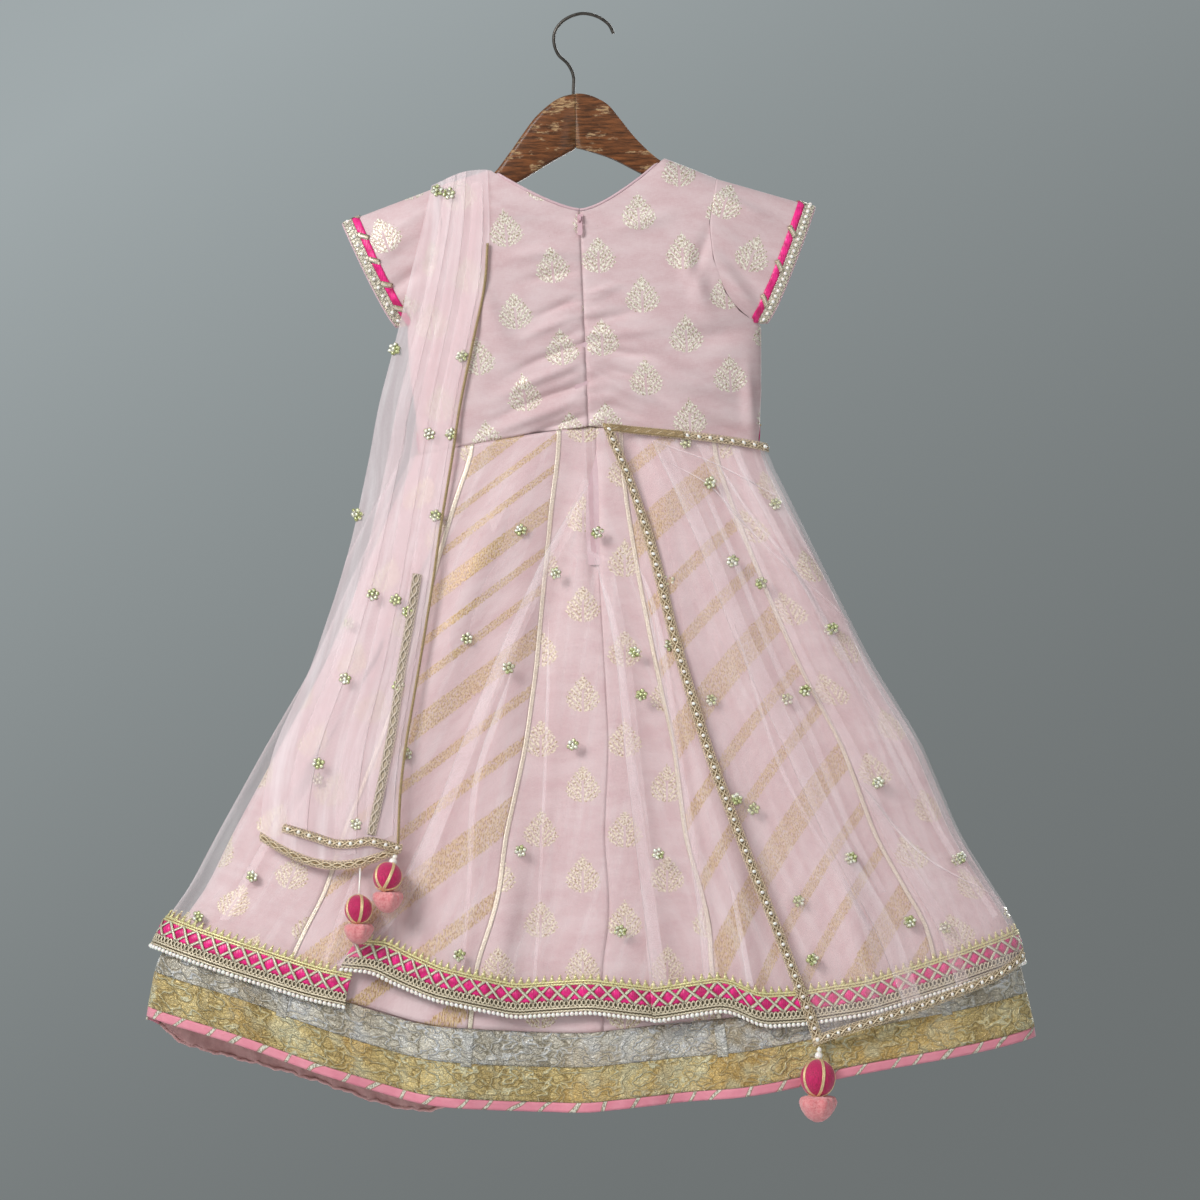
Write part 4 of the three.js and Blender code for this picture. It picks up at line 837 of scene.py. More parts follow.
def thread_paint(name, dark, light, metallic=0.75, rough=0.38, grain=1.1):
    """Metal thread: the tone runs from dark to light, as painted shade in the hollows and painted highlights
    on the turns of the thread.
    """
    made, shader = material(name, Specular_IOR_Level=0.6)
    spot = place_of(shader)
    twist_and_glint = noise(spot, grain, 3, 0.7)
    hollow_shade = ramp(node(shader, "ShaderNodeNewGeometry").outputs["Pointiness"], 0.44, 0.56)
    # painted shade darkens the thread in its hollows, painted highlights lighten its turns
    tone = scaled(hollow_shade, 0.45, times(ramp(twist_and_glint, 0.38, 0.62), 0.6), clamp=True)
    feed(shader, Base_Color=blend(tone, dark, light),
         Roughness=scaled(twist_and_glint, 0.3, rough - 0.15), Metallic=scaled(tone, 0.2, metallic - 0.1))
    bump(shader, twist_and_glint, 0.6, 0.0005)
    return made


bright_gold = thread_paint("bright_gold_thread", "a8874c", "ffe6b4", 0.55)
pale_gota = thread_paint("pale_gota_ribbon", "bda584", "fff3e0", 0.5, 0.32)
pearl, shader = material("pearl", Coat_Weight=0.6, Specular_IOR_Level=0.6, Subsurface_Weight=0.1,
                         Subsurface_Scale=0.002)
glow = noise(place_of(shader), 0.2, 2)
feed(shader, Base_Color=blend(ramp(glow, 0.35, 0.65), "fffcf6", "f8efe6"),
     Roughness=scaled(glow, 0.15, 0.16))

lace_silver = thread_paint("silver_gold_lace", "5c5040", "f5ebd8", 0.4, 0.4, 0.7)
magenta, shader = material("magenta_satin", Sheen_Weight=0.15, Specular_IOR_Level=0.55)
spot = place_of(shader)
rib = maths("SINE", times(axes(spot)["X"], 3.3))
sheen = noise(spot, 0.15, 3)
feed(shader, Base_Color=blend(ramp(sheen, 0.3, 0.7), "ff1d8e", "bd0a5e"), Roughness=scaled(rib, 0.05, 0.4))
bump(shader, plus(rib, times(sheen, 2.0)), 0.25, 0.0003)

TIE_PITCH, BEAD_PITCH = {"left": 26.4, "right": 33.0}, {"left": 8.8, "right": 5.6}
LOOP_PITCH = 3.9
SLEEVE_CREASES = {"left": [(-135, -175, -190, -210, 5, 1.0), (-140, -230, -186, -262, 5, -1.1),
                           (-150, -196, -200, -236, 6, 0.9)],
                  "right": [(128, -172, 186, -196, 5, 1.1), (132, -226, 178, -262, 5, -1.2),
                            (130, -196, 190, -226, 6, -0.8), (134, -244, 168, -276, 4, 1.1)]}
WEAVE_TURN = {"left": (-181, -203, 20), "right": (133, -172, -18)}  # a motif's place and the grain's lean
for which in ("left", "right"):
    side = 1 if which == "right" else -1
    form = creased(sleeve_form(which), side, SLEEVE_CREASES[which])
    made = cloth(f"sleeve_{which}", between(form, 0.0, 0.93), 96, 40, lay=turned(*WEAVE_TURN[which]))
    piece = thicken(put(f"sleeve_{which}_cloth", made, brocade, [f"sleeve_{which}"]), BROCADE)

    at, total = course(form, side)
    ribbon = lambda u, v: at(u * total, mix(16.2, 9.7, v), 1.3 + 0.5 * np.sin(math.pi * v) + 0 * u)
    strip_of_cloth(f"sleeve_{which}_satin_ribbon", ribbon, 120, 4, 0.5, magenta,
                   [f"sleeve_{which}_ribbon"])
    sewn(f"sleeve_{which}_ties", strip(11.0, 4.6, 0.35, 6, 0.85 * side, 0.4, 0.3), at,
         steps_along(total, TIE_PITCH[which]), 12.9, 2.0, pale_gota)
    lace = lambda u, v: at(u * total, mix(9.6, 0.9, v), 0.75 + 0.25 * np.sin(u * total * 1.5) * np.sin(6 * v))
    strip_of_cloth(f"sleeve_{which}_lace_ground", lace, 220, 6, 0.7, lace_silver,
                   [f"sleeve_{which}_lace"])
    loops = steps_along(total, LOOP_PITCH)
    sewn(f"sleeve_{which}_lace_loops", ring(1.5, 0.42, 10, 4, 1.25), at, np.tile(loops, 2),
         np.repeat([7.4, 2.4], len(loops)), 1.3, lace_silver)
    sewn(f"sleeve_{which}_lace_beads", bead(1.8), at, steps_along(total, BEAD_PITCH[which]), 4.9, 1.8,
         pearl)
    edge = np.linspace(0, total, 110)
    cord(f"sleeve_{which}_edge", at(edge, 0 * edge - 0.1, 0 * edge), 0.95, 7, satin)

# ---- Front waist band ----------------------------------------------------------------------------
# A magenta satin band sewn round the front of the waist, crossed with gota ties and edged with gold
# cord and small pearls. From behind only its end shows, at the right side seam.
at, total = course(between(creased(front_form, -1, FRONT_CREASES), 0, 0.995), -1)
band = lambda u, v: at(u * total, mix(19, 1, v), 1.3 + 0.5 * np.sin(math.pi * v) + 0 * u)
strip_of_cloth("waist_band_satin", band, 200, 6, 0.6, magenta, ["waist_band_front"])
sewn("waist_band_ties", strip(17.0, 3.0, 0.35, 6, 0.8, 0.4, 0.3), at, steps_along(total, 15.0, 5, 5), 10.0,
     2.1, pale_gota)
along = np.linspace(0.5, total - 0.5, 320)
for number, inward in ((1, 1.2), (2, 18.8)):
    line = at(along, inward + 0 * along, 2.0 + 0 * along)
    cord(f"waist_band_cord_{number}", line, 1.0, 6, bright_gold)
small_pearls = steps_along(total, 6.2, 4, 4)
sewn("waist_band_pearls", bead(1.5), at, np.tile(small_pearls, 2),
     np.repeat([4.2, 15.8], len(small_pearls)), 2.3, pearl)

# ---- Brocade skirt -------------------------------------------------------------------------------
# Flared gores, leaf brocade and slant-striped brocade by turns, joined with narrow gota tapes. Below
# them run a silver and a gold band of embossed zari cloth, and a bright pink facing turned at the hem.
SKIRT = {
    "z": [-375, -405, -450, -530, -600, -670, -755, -805, -835, -870, -940, -1020],
    "cloth_left": [-148, -150, -172, -207, -236, -275, -321, -345, -368, -389, -402, -404],
    "cloth_right": [162, 164, 184, 224, 260, 304, 340, 372, 393, 402, 418, 419],
    "cloth_depth": [21, 22, 26, 33, 39, 45, 52, 56, 58, 61, 65, 66],
    "net_left": [-151, -154, -178, -216, -247, -288, -335, -361, -384, -401, -407, -409],
    "net_right": [165, 168, 191, 231, 267, 311, 347, 379, 399, 407, 422, 423],
    "net_depth": [24, 26, 31, 39, 46, 52, 59, 63, 65, 68, 72, 73],
}
# Soft folds that run up from the hem: place across the width, half width, how far each stands out.
FOLDS = {1: [(-0.84, 0.12, 5), (-0.575, 0.1, 9), (-0.3, 0.1, 8), (-0.12, 0.09, -6), (0.06, 0.1, 6),
             (0.23, 0.08, -7), (0.36, 0.09, 8), (0.6, 0.12, 6), (0.82, 0.1, 5)],
         -1: [(-0.78, 0.12, 6), (-0.5, 0.12, -5), (-0.24, 0.11, 8), (0.02, 0.1, -6), (0.3, 0.12, 9),
              (0.52, 0.1, -5), (0.76, 0.12, 7)]}
KALIS = {
    1: [("outer_left", (-1, -1), (-0.68, -0.69)), ("stripe_left", (-0.68, -0.69), (-0.175, -0.28)),
        ("centre_left", (-0.175, -0.28), (0.045, 0.03)), ("centre_right", (0.045, 0.03), (0.19, 0.31)),
        ("stripe_right", (0.19, 0.31), (0.735, 0.82)), ("outer_right", (0.735, 0.82), (1, 1))],
    -1: [("outer_left", (-1, -1), (-0.69, -0.7)), ("stripe_left", (-0.69, -0.7), (-0.2, -0.28)),
         ("centre", (-0.2, -0.28), (0.2, 0.28)), ("stripe_right", (0.2, 0.28), (0.7, 0.71)),
         ("outer_right", (0.7, 0.71), (1, 1))],
}
FACING_HEIGHT, GOLD_BAND, SILVER_BAND = 9, 32, 31


def skirt_read(column, z):
    """The skirt's table with its corners eased."""
    return (read(SKIRT, column, z - 14) + 2 * read(SKIRT, column, z) + read(SKIRT, column, z + 14)) / 4


def down(z):
    """0 at the waist, 1 at the hem."""
    return np.clip((WAIST_Z - z) / (WAIST_Z - HEM_Z), 0, 1)


def hem_ripple(side, s, z):
    """Small uneven waves of the stiff bands, dying out above them."""
    wave = (np.sin(19 * s + side) + 0.8 * np.sin(34 * s + 2.1 + 2 * np.sin(5 * s))
            + 0.35 * np.sin(77 * s + 3 * np.sin(7 * s)))
    return 1.3 * wave * smooth((-860 - z) / 150)


def skirt_point(layer, side, phi, z):
    s = -np.cos(phi)
    round_part = roundness(s, mix(WAIST_SQUARENESS, HEM_SQUARENESS, np.clip((-375 - z) / 450, 0, 1)))
    folds = sum(out * bell(s, centre, wide) for centre, wide, out in FOLDS[side]) * down(z) ** 1.3
    depth = skirt_read(f"{layer}_depth", z) + folds + (hem_ripple(side, s, z) if layer == "cloth" else 0)
    return points(across(s, skirt_read(f"{layer}_left", z), skirt_read(f"{layer}_right", z)),
                  -side * (SEAM / 2 + depth * round_part), z)


def skirt_phi(layer, x, z):
    left, right = skirt_read(f"{layer}_left", z), skirt_read(f"{layer}_right", z)
    return np.arccos(np.clip(1 - 2 * (x - left) / (right - left), -1, 1))


def hem_z(side, s):
    """The hem's height: the back stands clear of the front along the left, where its inside shows."""
    lifted = 10.5 * bell(s, 0.12, 0.27) + 8.5 * bell(s, 0.6, 0.25)
    if side > 0:
        lifted = lifted + 6.5 * bell(s, -0.8, 0.2) - 4 * bell(s, -0.38, 0.12)
    else:
        lifted = lifted - 11.5 * bell(s, -0.43, 0.17) - 2.5 * bell(s, -0.85, 0.2)
        lifted = lifted - 13 * smooth((-0.24 - s) / 0.14) * smooth((s + 1) / 0.1)
    return HEM_Z + np.where(s < 0, 88, 71) * np.abs(s) ** 1.5 + lifted


def skirt_form(layer, side, start, end, top, bottom):
    def form(u, v):
        top_z = top(-np.cos(mix(start(WAIST_Z), end(WAIST_Z), u)))
        bottom_z = bottom(-np.cos(mix(start(HEM_Z), end(HEM_Z), u)))
        z = mix(top_z, bottom_z, v)
        return skirt_point(layer, side, mix(start(z), end(z), u), z)
    return form


def seam_line(ends, shift):
    def phi(z):
        half = (skirt_read("cloth_right", z) - skirt_read("cloth_left", z)) / 2
        s = mix(*ends, down(z)) + (shift / half if abs(ends[0]) < 1 else 0)
        return np.arccos(-s)
    return phi


def seam_dip(form, side, width):
    """Draws the two long edges of a gore down into their seams."""
    def moved(u, v):
        spots = form(u, v)
        inset = np.minimum(u, 1 - u) * width
        return spots - side * normal_of(form, u, v) * (-0.9 * np.exp(-inset / 3.0))[..., None]
    return moved


SKIRT_CREASES = {1: [(-60, -420, -160, -700, 16, 2.0), (-20, -430, -60, -760, 14, -2.2),
                     (60, -430, 120, -760, 15, 2.0), (110, -420, 240, -700, 14, -2.0),
                     (140, -420, 300, -640, 12, 1.8), (-120, -430, -260, -760, 14, 1.8),
                     (-140, -700, -190, -960, 13, -2.2), (-60, -760, -90, -980, 11, 2.0),
                     (150, -740, 190, -980, 13, -2.0), (230, -760, 280, -960, 12, 1.8),
                     (9, -420, 14, -560, 5, -2.0)],
                 -1: [(-60, -430, -130, -760, 16, 2.2), (20, -430, 30, -800, 16, -2.2),
                      (90, -420, 220, -760, 15, 2.0), (-100, -420, -260, -720, 14, -2.0),
                      (-160, -720, -220, -960, 13, 2.2), (60, -760, 90, -980, 13, -2.0)]}
def stripes_left(x, z):
    """The cloth's stripes lie closer together where the gathers take it up, near the waist."""
    fall = z + 505 - 0.754 * (x + 96)
    return np.stack([1.25 * (x + 96), 1.255 * fall + 0.00107 * fall ** 2], -1)


def stripes_right(x, z):
    """They fan out with the gore, steeper towards the hem."""
    fall = z + 449
    aside = x - 88 + 0.379 * fall
    return np.stack([1.45 * aside, 0.862 * (fall - (0.654 - 0.00101 * fall) * aside)], -1)


def above_hem(side, rise):
    return lambda s: hem_z(side, s) + rise


def brocade_part(side, start, end, top, bottom, off=0.0):
    """A part of the creased brocade skirt, which stands off it by the last measure."""
    form = creased(skirt_form("cloth", side, start, end, top, bottom), side, SKIRT_CREASES[side])
    return moved_out(form, side, off) if off else form


STRIPES = {"stripe_left": stripes_left, "stripe_right": stripes_right}
low_brocade = brocade_paint("leaf_brocade_skirt", False, 82.0, "a4825a", "fbefd6")
striped = brocade_paint("striped_brocade", True, 76.0, "a87c4c", "fbe3ba")
LAID = {**STRIPES, "centre_left": turned(2, -541), "centre_right": turned(40, -582),
        "centre": turned(0, -500)}
BAND_TOP = FACING_HEIGHT + GOLD_BAND + SILVER_BAND
SIDES = ((1, "back"), (-1, "front"))
under_waist = lambda s: waist_z(s) - SEAM  # the gores' upper edge
for side, word in SIDES:
    for name, left, right in KALIS[side]:
        form = brocade_part(side, seam_line(left, SEAM / 2), seam_line(right, -SEAM / 2), under_waist,
                            above_hem(side, BAND_TOP + SEAM))
        width = (right[1] - left[1]) * 400
        form = seam_dip(form, side, width)
        columns = max(24, int(width / (4.0 if side > 0 else 5.5)))
        made = cloth(f"skirt_{word}_{name}", form, columns, 122 if side > 0 else 72, (8, -40), LAID.get(name))
        stripes = name in STRIPES
        piece = thicken(put(f"skirt_{word}_{name}_cloth", made, striped if stripes else low_brocade,
                            [f"skirt_{word}_{name}"]), BROCADE)

TAPE_WIDTH = 4
TAPE_NODES = {0: 1, 1: 2, 3: 3, 4: 4}
CENTRE_SEAM = (1, 2)  # the back's middle seam has no tape
TAPED = [(side, word, k, line) for side, word in SIDES
         for k, (name, left, line) in enumerate(KALIS[side][:-1]) if (side, k) != CENTRE_SEAM]
for side, word, k, line in TAPED:
    form = brocade_part(side, seam_line(line, -TAPE_WIDTH / 2), seam_line(line, TAPE_WIDTH / 2), under_waist,
                        above_hem(side, BAND_TOP + SEAM), 1.15)
    strip_of_cloth(f"gota_tape_{word}_{k + 1}", form, 4, 150, 0.5, pale_gota,
                   [f"gota_tape_{TAPE_NODES[k]}"] if side > 0 else [])

# Embossed zari: flat metal threads pressed into trailing lines and leaves. Its shine is painted light:
# painted highlights in broad folds, on the crushed metal and on the pressed lines and leaves, and painted
# shade just beside the lines.
zari_group, given, out = group("zari_emboss", {"Place": ("Vector", None)},
                               {"Height": "Float", "Shine": "Float"})
bent = node(given["Place"], "ShaderNodeVectorMath", {0: given["Place"], 1: (0.8, 1.3, 1.0)},
            operation="MULTIPLY").outputs[0]
warp = node(bent, "ShaderNodeTexNoise", {"Vector": bent, "Scale": 0.07, "Detail": 2.0}).outputs["Color"]
pushed = node(bent, "ShaderNodeVectorMath", {0: warp, 1: (11.0, 11.0, 0.0), 2: bent},
              operation="MULTIPLY_ADD").outputs[0]
vine = maths("ABSOLUTE", minus(noise(pushed, 0.075, 1, 0.5), 0.5))
stems = ramp(vine, 0.05, 0.0)
veins = maths("ABSOLUTE", minus(noise(pushed, 0.21, 1, 0.5), 0.5))
leaves = ramp(veins, 0.07, 0.0)
crush = noise(mapped(given["Place"], (0.5, 0.8, 1)), 1.0, 3, 0.6)
folds = noise(mapped(given["Place"], (0.017, 0.005, 1)), 1.0, 3, 0.7)
feed(out, Height=plus(stems, scaled(leaves, 0.45, times(crush, 0.2))))
# painted highlights in the broad folds, on the crushed metal and on the pressed ridges; painted shade beside
# the lines
painted_fold_shine = scaled(ramp(folds, 0.36, 0.66), 0.5, scaled(ramp(crush, 0.4, 0.62), 0.16, 0.14))
ridges = scaled(ramp(leaves, 0.6, 1.0), 0.2, times(ramp(stems, 0.45, 0.85), 0.42))
beside = times(ramp(vine, 0.045, 0.06), ramp(vine, 0.1, 0.07))
lit = plus(painted_fold_shine, ridges)
feed(out, Shine=scaled(beside, -0.32, lit, clamp=True))


def zari_paint(name, dark, middle, bright, metallic, deep):
    made, shader = material(name, Specular_IOR_Level=0.85, Sheen_Weight=0.05)
    place = weave_place(shader)
    pressed = use(zari_group, Place=place)
    fine = use(fleck_group, Place=place, Cover=0.7)
    # the zari's colour is painted light and shade: dark to bright by the painted shine, deeper in broad
    # patches of painted shade, brighter in patches of painted glare, with flecks of painted glint
    tone = blend(ramp(pressed["Shine"], 0.1, 0.5), dark, middle)
    tone = blend(ramp(pressed["Shine"], 0.45, 0.95), tone, bright)
    wear_and_shade = times(ramp(noise(place, 0.011, 2, 0.5), 0.5, 0.62), 0.45)
    tone = blend(wear_and_shade, tone, deep)
    glare = times(ramp(noise(place, 0.04, 2, 0.5), 0.5, 0.66), 0.5)
    tone = blend(glare, tone, bright)
    feed(shader, Base_Color=blend(times(fine["Flecks"], 0.14), tone, bright),
         Roughness=scaled(pressed["Shine"], -0.14, 0.42),
         Metallic=scaled(fine["Tone"], 0.1, metallic))
    bump(shader, scaled(fine["Tone"], 0.25, pressed["Height"]), 1.0, 0.003)
    return made


silver_zari = zari_paint("silver_zari", "a3967c", "fbf0da", "ffffff", 0.06, "cdb288")
gold_zari = zari_paint("gold_zari", "ab8c48", "fbdc90", "fff6cc", 0.06, "e8b050")
hem_pink, shader = material("hem_facing_pink", Sheen_Weight=0.3, Specular_IOR_Level=0.4)
place = weave_place(shader)
split = axes(place)
slant = minus(times(split["Y"], 0.9), split["X"])
drift = times(noise(place, 0.02, 1), 36)
cell = maths("PINGPONG", plus(slant, drift), 13.5)
lurex = ramp(cell, 2.3, 1.7)
border = minus(ramp(cell, 3.1, 2.5), lurex, clamp=True)
cloth_tone = blend(noise(place, 0.08, 3), "eb9dab", "d87589")
silver = blend(use(fleck_group, Place=place, Cover=0.8)["Flecks"], "8f8a78", "dcd6c4")
feed(shader, Base_Color=blend(times(border, 0.7), blend(lurex, cloth_tone, silver), "8c6236"),
     Roughness=scaled(lurex, -0.15, 0.6))
bump(shader, plus(noise(place, 0.4, 3), lurex), 0.4, 0.0006)

BANDS = [("hem_facing", 0, FACING_HEIGHT, hem_pink, "facing", 4),
         ("gold_band", FACING_HEIGHT, FACING_HEIGHT + GOLD_BAND, gold_zari, "gold_zari", 10),
         ("silver_band", FACING_HEIGHT + GOLD_BAND, BAND_TOP, silver_zari, "silver_zari", 10)]
for side, word in SIDES:
    for name, low, high, paint, slot, rows in BANDS:
        form = brocade_part(side, left_edge, right_edge, above_hem(side, high - SEAM / 2),
                            above_hem(side, low + SEAM / 2), 0.5 if name == "hem_facing" else 0.9)
        made = cloth(f"{name}_{word}", form, 300 if side > 0 else 200, rows)
        piece = thicken(put(f"{name}_{word}_cloth", made, paint, [f"{name}_{word}"]), BROCADE)

# Where a taped seam runs on under the silver band it is pressed flat and wide; the zari over it is painted
# paler, a painted highlight along the seam.
painted_seam_shine = zari_paint("zari_over_seam_painted_shine", "d2c9b4", "f6f1e4", "ffffff", 0.1, "e0d2b4")
for side, word, k, line in TAPED:
    form = brocade_part(side, seam_line(line, -5.5), seam_line(line, 4.0),
                        above_hem(side, BAND_TOP - SEAM / 2),
                        above_hem(side, FACING_HEIGHT + GOLD_BAND - 3), 2.1)
    strip_of_cloth(f"painted_seam_shine_{word}_{k + 1}", form, 5, 16, 0.3, painted_seam_shine)

# The front's lining shows as a strip below the back's hem on the left; its foot frays a little.
lining, shader = material("dusty_pink_lining", Sheen_Weight=0.2)
spot = place_of(shader)
feed(shader, Base_Color=blend(noise(spot, 0.2, 4), "fbcbc8", "cb8d8e"),
     Roughness=scaled(noise(spot, 0.5), 0.2, 0.65))
bump(shader, noise(spot, 1.2, 4), 0.5, 0.0006)
fray = lambda s: hem_z(-1, s) - 0.6 + 0.7 * np.sin(90 * s) + 0.5 * np.sin(233 * s + 1)
form = skirt_form("cloth", -1, lambda z: 0 * z + math.acos(0.975), lambda z: 0 * z + math.acos(0.2),
                  lambda s: hem_z(-1, s) + 30, fray)


def tucked(spots):
    """Small folds of the lining that lean across it, flat at its foot."""
    x, z = spots[..., 0], spots[..., 2]
    return -4.2 + 0.9 * np.sin((x + 0.7 * z) / 5.2 + 2 * np.sin(x / 37)) + 0.4 * np.sin(x / 2.4)


form = moved_out(form, -1, tucked)
piece = strip_of_cloth("lining_edge_cloth", form, 220, 10, 0.7, lining, ["lining_edge_front"])
# Its foot is turned up and overcast, which leaves a thick ragged roll.
low = np.linspace(math.acos(0.97), math.acos(0.21), 420)
roll = skirt_point("cloth", -1, low, fray(-np.cos(low)) + 1.6) + np.array([0, -4.6, 0])
uneven = 1 + 0.25 * np.sin(np.arange(len(low)) * 0.9) * np.sin(np.arange(len(low)) * 0.31)
cord("lining_edge_roll", roll, 1.5 * uneven, 6, lining)

# ---- Net over-skirt ------------------------------------------------------------------------------
# Sheer net gathered into the waist, lapped at the back: the centre over the left part, the right part
# over the centre. Small round groups of sequins are scattered over it.
FOLD_LINE = {"z": [-428, -495, -587, -663, -732, -804, -873, -915],
             "x": [6, -33, -75, -106, -133, -168, -224, -228]}
LAP_LINE = {"z": [-375, -498, -584, -689, -813, -930], "x": [9.5, 13, 31, 41, 55, 65]}
NET_HEMS = {"left": {"s": [-1, -0.757, -0.625, -0.5], "z": [-857, -886, -901, -912]},
            "centre": {"s": [-0.57, -0.49, -0.42, -0.335, -0.16, 0.01, 0.16],
                       "z": [-874, -877, -889, -902, -918, -913, -921]},
            "right": {"s": [0.15, 0.31, 0.385, 0.48, 0.63, 0.84, 1],
                      "z": [-921, -911, -926, -924, -915, -891, -872]},
            "front": {"s": [-1, -0.5, 0, 0.5, 1], "z": [-857, -904, -920, -911, -872]}}
FOLD_LAP, FOLD_RISE = 14, 2.8


def eased(table, column, at, reach):
    """A table read with its corners rounded off."""
    return sum(read(table, column, at + k * reach) for k in (-1, -0.5, 0, 0.5, 1)) / 5


def net_phi(x, z):
    return skirt_phi("net", x, z)


def net_hem(part):
    return lambda s: eased(NET_HEMS[part], "z", s, 0.02)


def right_net_rise(spots):
    """How far the right part stands off: over the lap, and at the small pleat above the lace."""
    x, z = spots[..., 0], spots[..., 2]
    s, lap_s = -np.cos(net_phi(x, z)), -np.cos(net_phi(eased(LAP_LINE, "x", z, 30), z))
    lap = np.maximum(0, 2 * FOLD_RISE * (1 - smooth((s - lap_s - 0.1) / 0.14)))
    return lap + 7 * down(z) ** 2 * np.exp(-((s - 0.235) / 0.055) ** 2)


def gathers(side, strength=1.0):
    """Fine uneven gathers that run down from the waist."""
    def lift(spots):
        x, z = spots[..., 0], spots[..., 2]
        s = -np.cos(net_phi(x, z))
        wave = np.sin(64 * s + 3 * np.sin(5 * s)) + 0.7 * np.sin(101 * s + side + 2 * np.sin(9 * s))
        gathered = (0.35 + 0.65 * smooth((-380 - z) / 60)) * (1 - 0.5 * smooth((-780 - z) / 100))
        return strength * 0.55 * wave * gathered
    return lift


PARTING = -458  # below this the left part runs on under the fold
net_top = lambda s: waist_z(s) - 2
fold_phi = lambda shift: lambda z: net_phi(eased(FOLD_LINE, "x", z, 24) + shift, z)
lap_phi = lambda shift: lambda z: net_phi(eased(LAP_LINE, "x", z, 30) + shift, z)
zip_phi = lambda z: net_phi(zip_x(z) - 3, z)
left_until = lambda z: np.minimum(np.where(z > PARTING, zip_phi(z), fold_phi(FOLD_LAP)(z)), zip_phi(z))
centre_until = lambda z: np.where(
    z > ZIP_END[1], net_phi(np.maximum(zip_x(z) - 2.5, eased(FOLD_LINE, "x", z, 24) + 1), z),
    lap_phi(FOLD_LAP)(z))
centre_form = skirt_form("net", 1, fold_phi(0), centre_until, lambda s: 0 * s + FOLD_LINE["z"][0],
                         net_hem("centre"))
right_form = skirt_form("net", 1, lap_phi(0), right_edge, net_top, net_hem("right"))
net_forms = {
    "back_left": (1, skirt_form("net", 1, left_edge, left_until, net_top, net_hem("left"))),
    "back_centre": (1, moved_out(centre_form, 1, FOLD_RISE)),
    "back_right": (1, moved_out(right_form, 1, right_net_rise)),
    "front": (-1, skirt_form("net", -1, left_edge, right_edge, net_top, net_hem("front")))}


def net_paint(name, clear=0.14, tint="f3dcde", streak="fbf1f2"):
    """Net: mostly holes face on, thicker to the eye where it turns away or lies in streaks."""
    made, shader = material(name, Sheen_Weight=0.3, Specular_IOR_Level=0.25, Roughness=0.6)
    made.cycles.use_bump_map_correction = False  # threads are lit from either side of the cloth
    turned = node(shader, "ShaderNodeLayerWeight", {"Blend": 0.5}).outputs["Facing"]
    place = weave_place(shader)
    streaks = noise(mapped(place, (0.07, 0.006, 1)), 1.0, 4, 0.6)
    split = axes(place)
    holes = times(maths("SINE", times(plus(split["X"], split["Y"]), 2.6)),
                  maths("SINE", times(minus(split["X"], split["Y"]), 2.6)))
    thick = scaled(maths("POWER", turned, 2.4), 0.7, clear)
    thick = scaled(ramp(streaks, 0.45, 0.75), 0.11, thick)
    thick = scaled(holes, 0.07, thick, clamp=True)
    # Light passes among the threads more freely than sight does, so the net throws little shadow.
    in_shadow = node(shader, "ShaderNodeLightPath").outputs["Is Shadow Ray"]
    feed(shader, Alpha=times(thick, scaled(in_shadow, -0.6, 1.0)),
         Base_Color=blend(ramp(streaks, 0.35, 0.75), tint, streak))
    # Threads scatter light all ways, so the net is lit nearly alike however it turns.
    normal = node(shader, "ShaderNodeNewGeometry").outputs["Normal"]
    outward = maths("SIGN", axes(normal)["Y"])
    level = node(outward, "ShaderNodeCombineXYZ", {"X": -0.35, "Y": outward, "Z": 0.25}).outputs[0]
    even = node(level, "ShaderNodeMix", {0: 0.85, 4: normal, 5: level}, data_type="VECTOR").outputs[1]
    feed(shader, Normal=node(even, "ShaderNodeVectorMath", {0: even}, operation="NORMALIZE").outputs[0])
    return made


net_cloth = net_paint("sheer_net")
NET_SIZES = {"back_left": (150, 70), "back_centre": (90, 60), "back_right": (150, 80), "front": (180, 50)}
for name, (side, form) in net_forms.items():
    form = moved_out(form, side, gathers(side))
    net_forms[name] = side, form
    made = cloth(f"net_{name}", form, *NET_SIZES[name])
    piece = put(f"net_{name}_cloth", made, net_cloth, [f"net_{name}"])

# Standing folds in the net: narrow pleats of two more layers, each with a rounded edge.
NET_FOLDS = [
    # the line of its edge, its width at the top and at the foot, and how far it stands off
    ([(7, -432), (-33, -497), (-75, -588), (-106, -664), (-133, -733), (-168, -805), (-222, -870)],
     5, 19, 4.2),
    ([(-64, -604), (-97, -701), (-103, -790), (-109, -880)], 7, 3, 1.6),
    ([(13, -500), (31, -586), (41, -690), (55, -814), (64, -890)], 4, 14, 4.4),
    ([(50, -500), (71, -575), (95, -742), (118, -880)], 3, 9, 2.0),
    ([(56, -520), (79, -640), (99, -745), (113, -882)], 2, 6, 3.2),
    ([(67, -393), (123, -414), (176, -442)], 2, 4, 1.6),
    ([(72, -408), (116, -433), (141, -461), (176, -497), (246, -560), (262, -590)], 2, 5, 1.6),
    ([(120, -405), (150, -455), (196, -515), (236, -585), (262, -640), (303, -720)], 3, 7, 1.6),
    ([(140, -560), (180, -690), (236, -793), (260, -838)], 3, 6, 1.4),
    ([(254, -704), (304, -766), (371, -806), (391, -815)], 4, 3, 2.2),
    ([(135, -796), (151, -888)], 4, 6, 1.4),
    ([(-30, -560), (-34, -690), (-40, -830), (-44, -890)], 3, 3, 1.0),
    ([(-130, -480), (-196, -600), (-268, -720), (-330, -830)], 4, 9, 1.6),
    ([(-150, -640), (-196, -760), (-236, -866)], 4, 6, 1.4),
]


